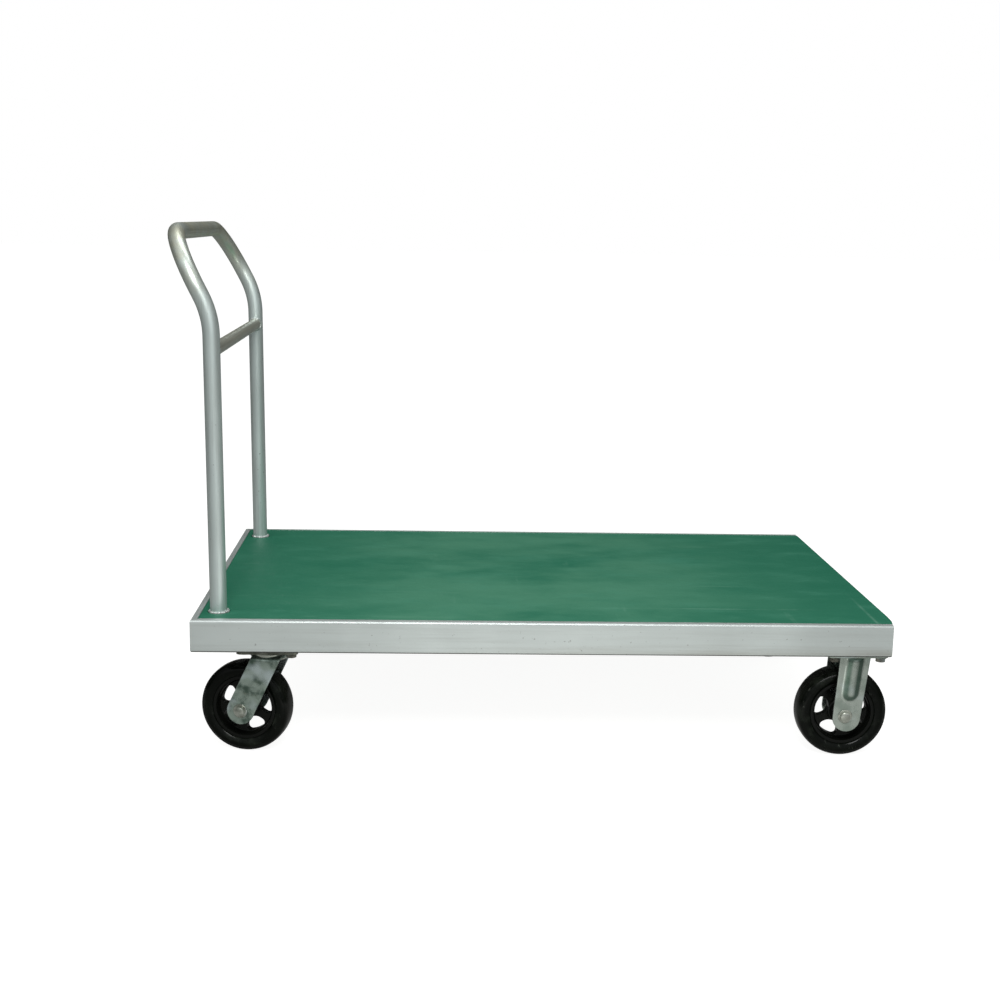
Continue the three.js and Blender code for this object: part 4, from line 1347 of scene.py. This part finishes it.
def core_mesh():
    window_columns, spoke_columns = 12, 5
    per_sector = window_columns + spoke_columns
    columns = window_count * per_sector
    eased = [window_corner * (1 - math.cos(math.radians(15 * k))) for k in range(7)]
    window_radii = [window_inner + e for e in eased] + [window_outer - e for e in reversed(eased)]
    rings = [(r * mm, h * mm) for r, h in core_profile]
    first_window = len(rings)
    rings += [(r, web_half) for r in window_radii]
    last_window = len(rings) - 1
    rings += [(r * mm, h * mm) for r, h in rim_profile]
    made = bmesh.new()

    def angle_at(index, radius):
        sector, part = divmod(index, per_sector)
        middle = math.pi / 2 + math.tau * sector / window_count
        half = window_half_angle(min(max(radius, window_inner), window_outer))
        if part <= window_columns:
            return middle - half + 2 * half * part / window_columns
        share = (part - window_columns) / spoke_columns
        return middle + half + (math.tau / window_count - 2 * half) * share

    sides = []
    for face in (-1, 1):
        grid = []
        for radius, height in rings:
            ring = []
            for index in range(columns):
                a = angle_at(index, radius)
                ring.append(made.verts.new((radius * math.cos(a), face * height, radius * math.sin(a))))
            grid.append(ring)
        sides.append(grid)
        for k in range(len(rings) - 1):
            for index in range(columns):
                in_window = index % per_sector < window_columns
                if in_window and first_window <= k < last_window:
                    continue
                j = (index + 1) % columns
                made.faces.new((grid[k][index], grid[k][j], grid[k + 1][j], grid[k + 1][index]))
    back, front = sides
    for k in (0, len(rings) - 1):
        for index in range(columns):
            j = (index + 1) % columns
            made.faces.new((front[k][index], front[k][j], back[k][j], back[k][index]))
    for sector in range(window_count):
        start = sector * per_sector
        for k in (first_window, last_window):
            for index in range(start, start + window_columns):
                j = index + 1
                made.faces.new((front[k][index], front[k][j], back[k][j], back[k][index]))
        for index in (start, start + window_columns):
            for k in range(first_window, last_window):
                made.faces.new((front[k][index], front[k + 1][index], back[k + 1][index], back[k][index]))
    blank = put_in_scene("wheel_core", plain_mesh(made, "wheel_core"))
    eased_edges = blank.modifiers.new("eased", "BEVEL")
    eased_edges.width = 1.3 * mm
    eased_edges.segments = 3
    eased_edges.limit_method = "ANGLE"
    eased_edges.angle_limit = math.radians(60)
    return baked(blank, "wheel_core")


def black_moulding():
    material, tree, shader = new_material("black_moulding")
    dust = noise_texture(tree, 55.0, 5.0, 0.65, seed=2.7)
    rub = noise_texture(tree, 190.0, 5.0, 0.7, seed=5.9)
    colour = layered(
        tree,
        (0.0035, 0.004, 0.0032),
        [
            ((0.02, 0.021, 0.017), steps(tree, dust, 0.55, 0.8, 0.0, 0.4)),
            ((0.05, 0.05, 0.043), steps(tree, rub, 0.68, 0.8, 0.0, 0.35)),
        ],
    )
    roughness = steps(tree, dust, 0.35, 0.75, 0.16, 0.34)
    set_inputs(tree, shader, {"Base Color": colour, "Roughness": roughness, "Specular IOR Level": 0.16})
    height_bump(tree, shader, [(dust, 0.08, 0.0006), (rub, 0.06, 0.0002)])
    return material


core_source = core_mesh()
shade_by_angle(core_source, 35)
core_source.materials.append(black_moulding())
for name, hub in wheel_frames.items():
    kind, side = name.split("_")
    mesh = moved(core_source, hub @ Matrix.Rotation(-windows_at_rest[kind], 4, "Y"))
    body = f"{kind}_wheel_{side}"
    new_piece(f"wheel_moulding_{name}", mesh, body, [f"wheel_core_{name}"])

# ---- tyres ----
# A thick ring of solid black rubber, 160 mm across, is moulded round each core. The sides are
# slightly proud of the rim, a fine mould line runs round each shoulder, and the tread is dull
# and grey with floor dust.

# each point is a radius and a half width, in millimetres
tyre_half_profile = [
    (56.5, 19.8),
    (57.1, 21.2),
    (58.4, 22.2),
    (60.6, 23.4),
    (63.2, 24.4),
    (66.0, 24.9),
    (68.8, 24.6),
    (71.2, 23.7),
    (73.2, 22.3),
    (73.9, 21.4),
    (74.6, 21.5),
    (76.4, 19.9),
    (78.0, 17.3),
    (79.2, 13.2),
    (79.8, 8.4),
    (80.0, 3.6),
]
tread_starts = 76 * mm
tread_fade = 3 * mm


def tyre_mesh():
    made = bmesh.new()
    front = [(r * mm, w * mm) for r, w in tyre_half_profile]
    turned_mesh(made, front + [(r, -w) for r, w in reversed(front)], 128)
    mesh = plain_mesh(made, "tyre")
    worn = mesh.attributes.new("tread", "FLOAT", "POINT")
    for vert, value in zip(mesh.vertices, worn.data):
        radius = math.hypot(vert.co.x, vert.co.y)
        value.value = min(1.0, max(0.0, (radius - tread_starts) / tread_fade))
    mesh.transform(Matrix.Rotation(math.radians(90), 4, "X"))
    return mesh


def black_rubber():
    material, tree, shader = new_material("black_rubber")
    tread = add_node(tree, "ShaderNodeAttribute", attribute_name="tread")
    dust = noise_texture(tree, 30.0, 5.0, 0.65, seed=1.9)
    scuff = noise_texture(tree, 120.0, 6.0, 0.7, (1, 1, 0.35), seed=6.3)
    grit = noise_texture(tree, 700.0, 3.0, 0.6, seed=3.5)
    colour = layered(
        tree,
        (0.002, 0.0028, 0.0018),
        [
            ((0.02, 0.025, 0.018), steps(tree, dust, 0.5, 0.75, 0.0, 0.6)),
            ((0.12, 0.13, 0.11), steps(tree, scuff, 0.6, 0.76, 0.0, 0.6)),
            ((0.012, 0.013, 0.01), times(tree, tread.outputs["Fac"], 0.4)),
        ],
    )
    roughness = steps(tree, dust, 0.3, 0.75, 0.1, 0.26)
    set_inputs(tree, shader, {"Base Color": colour, "Roughness": roughness, "Specular IOR Level": 0.11})
    height_bump(tree, shader, [(scuff, 0.12, 0.0005), (grit, 0.12, 0.0002)])
    return material


tyre_source = tyre_mesh()
shade_by_angle(tyre_source, 32)
tyre_source.materials.append(black_rubber())
for name, hub in wheel_frames.items():
    kind, side = name.split("_")
    body = f"{kind}_wheel_{side}"
    new_piece(f"solid_tyre_{name}", moved(tyre_source, hub), body, [f"tyre_{name}"])
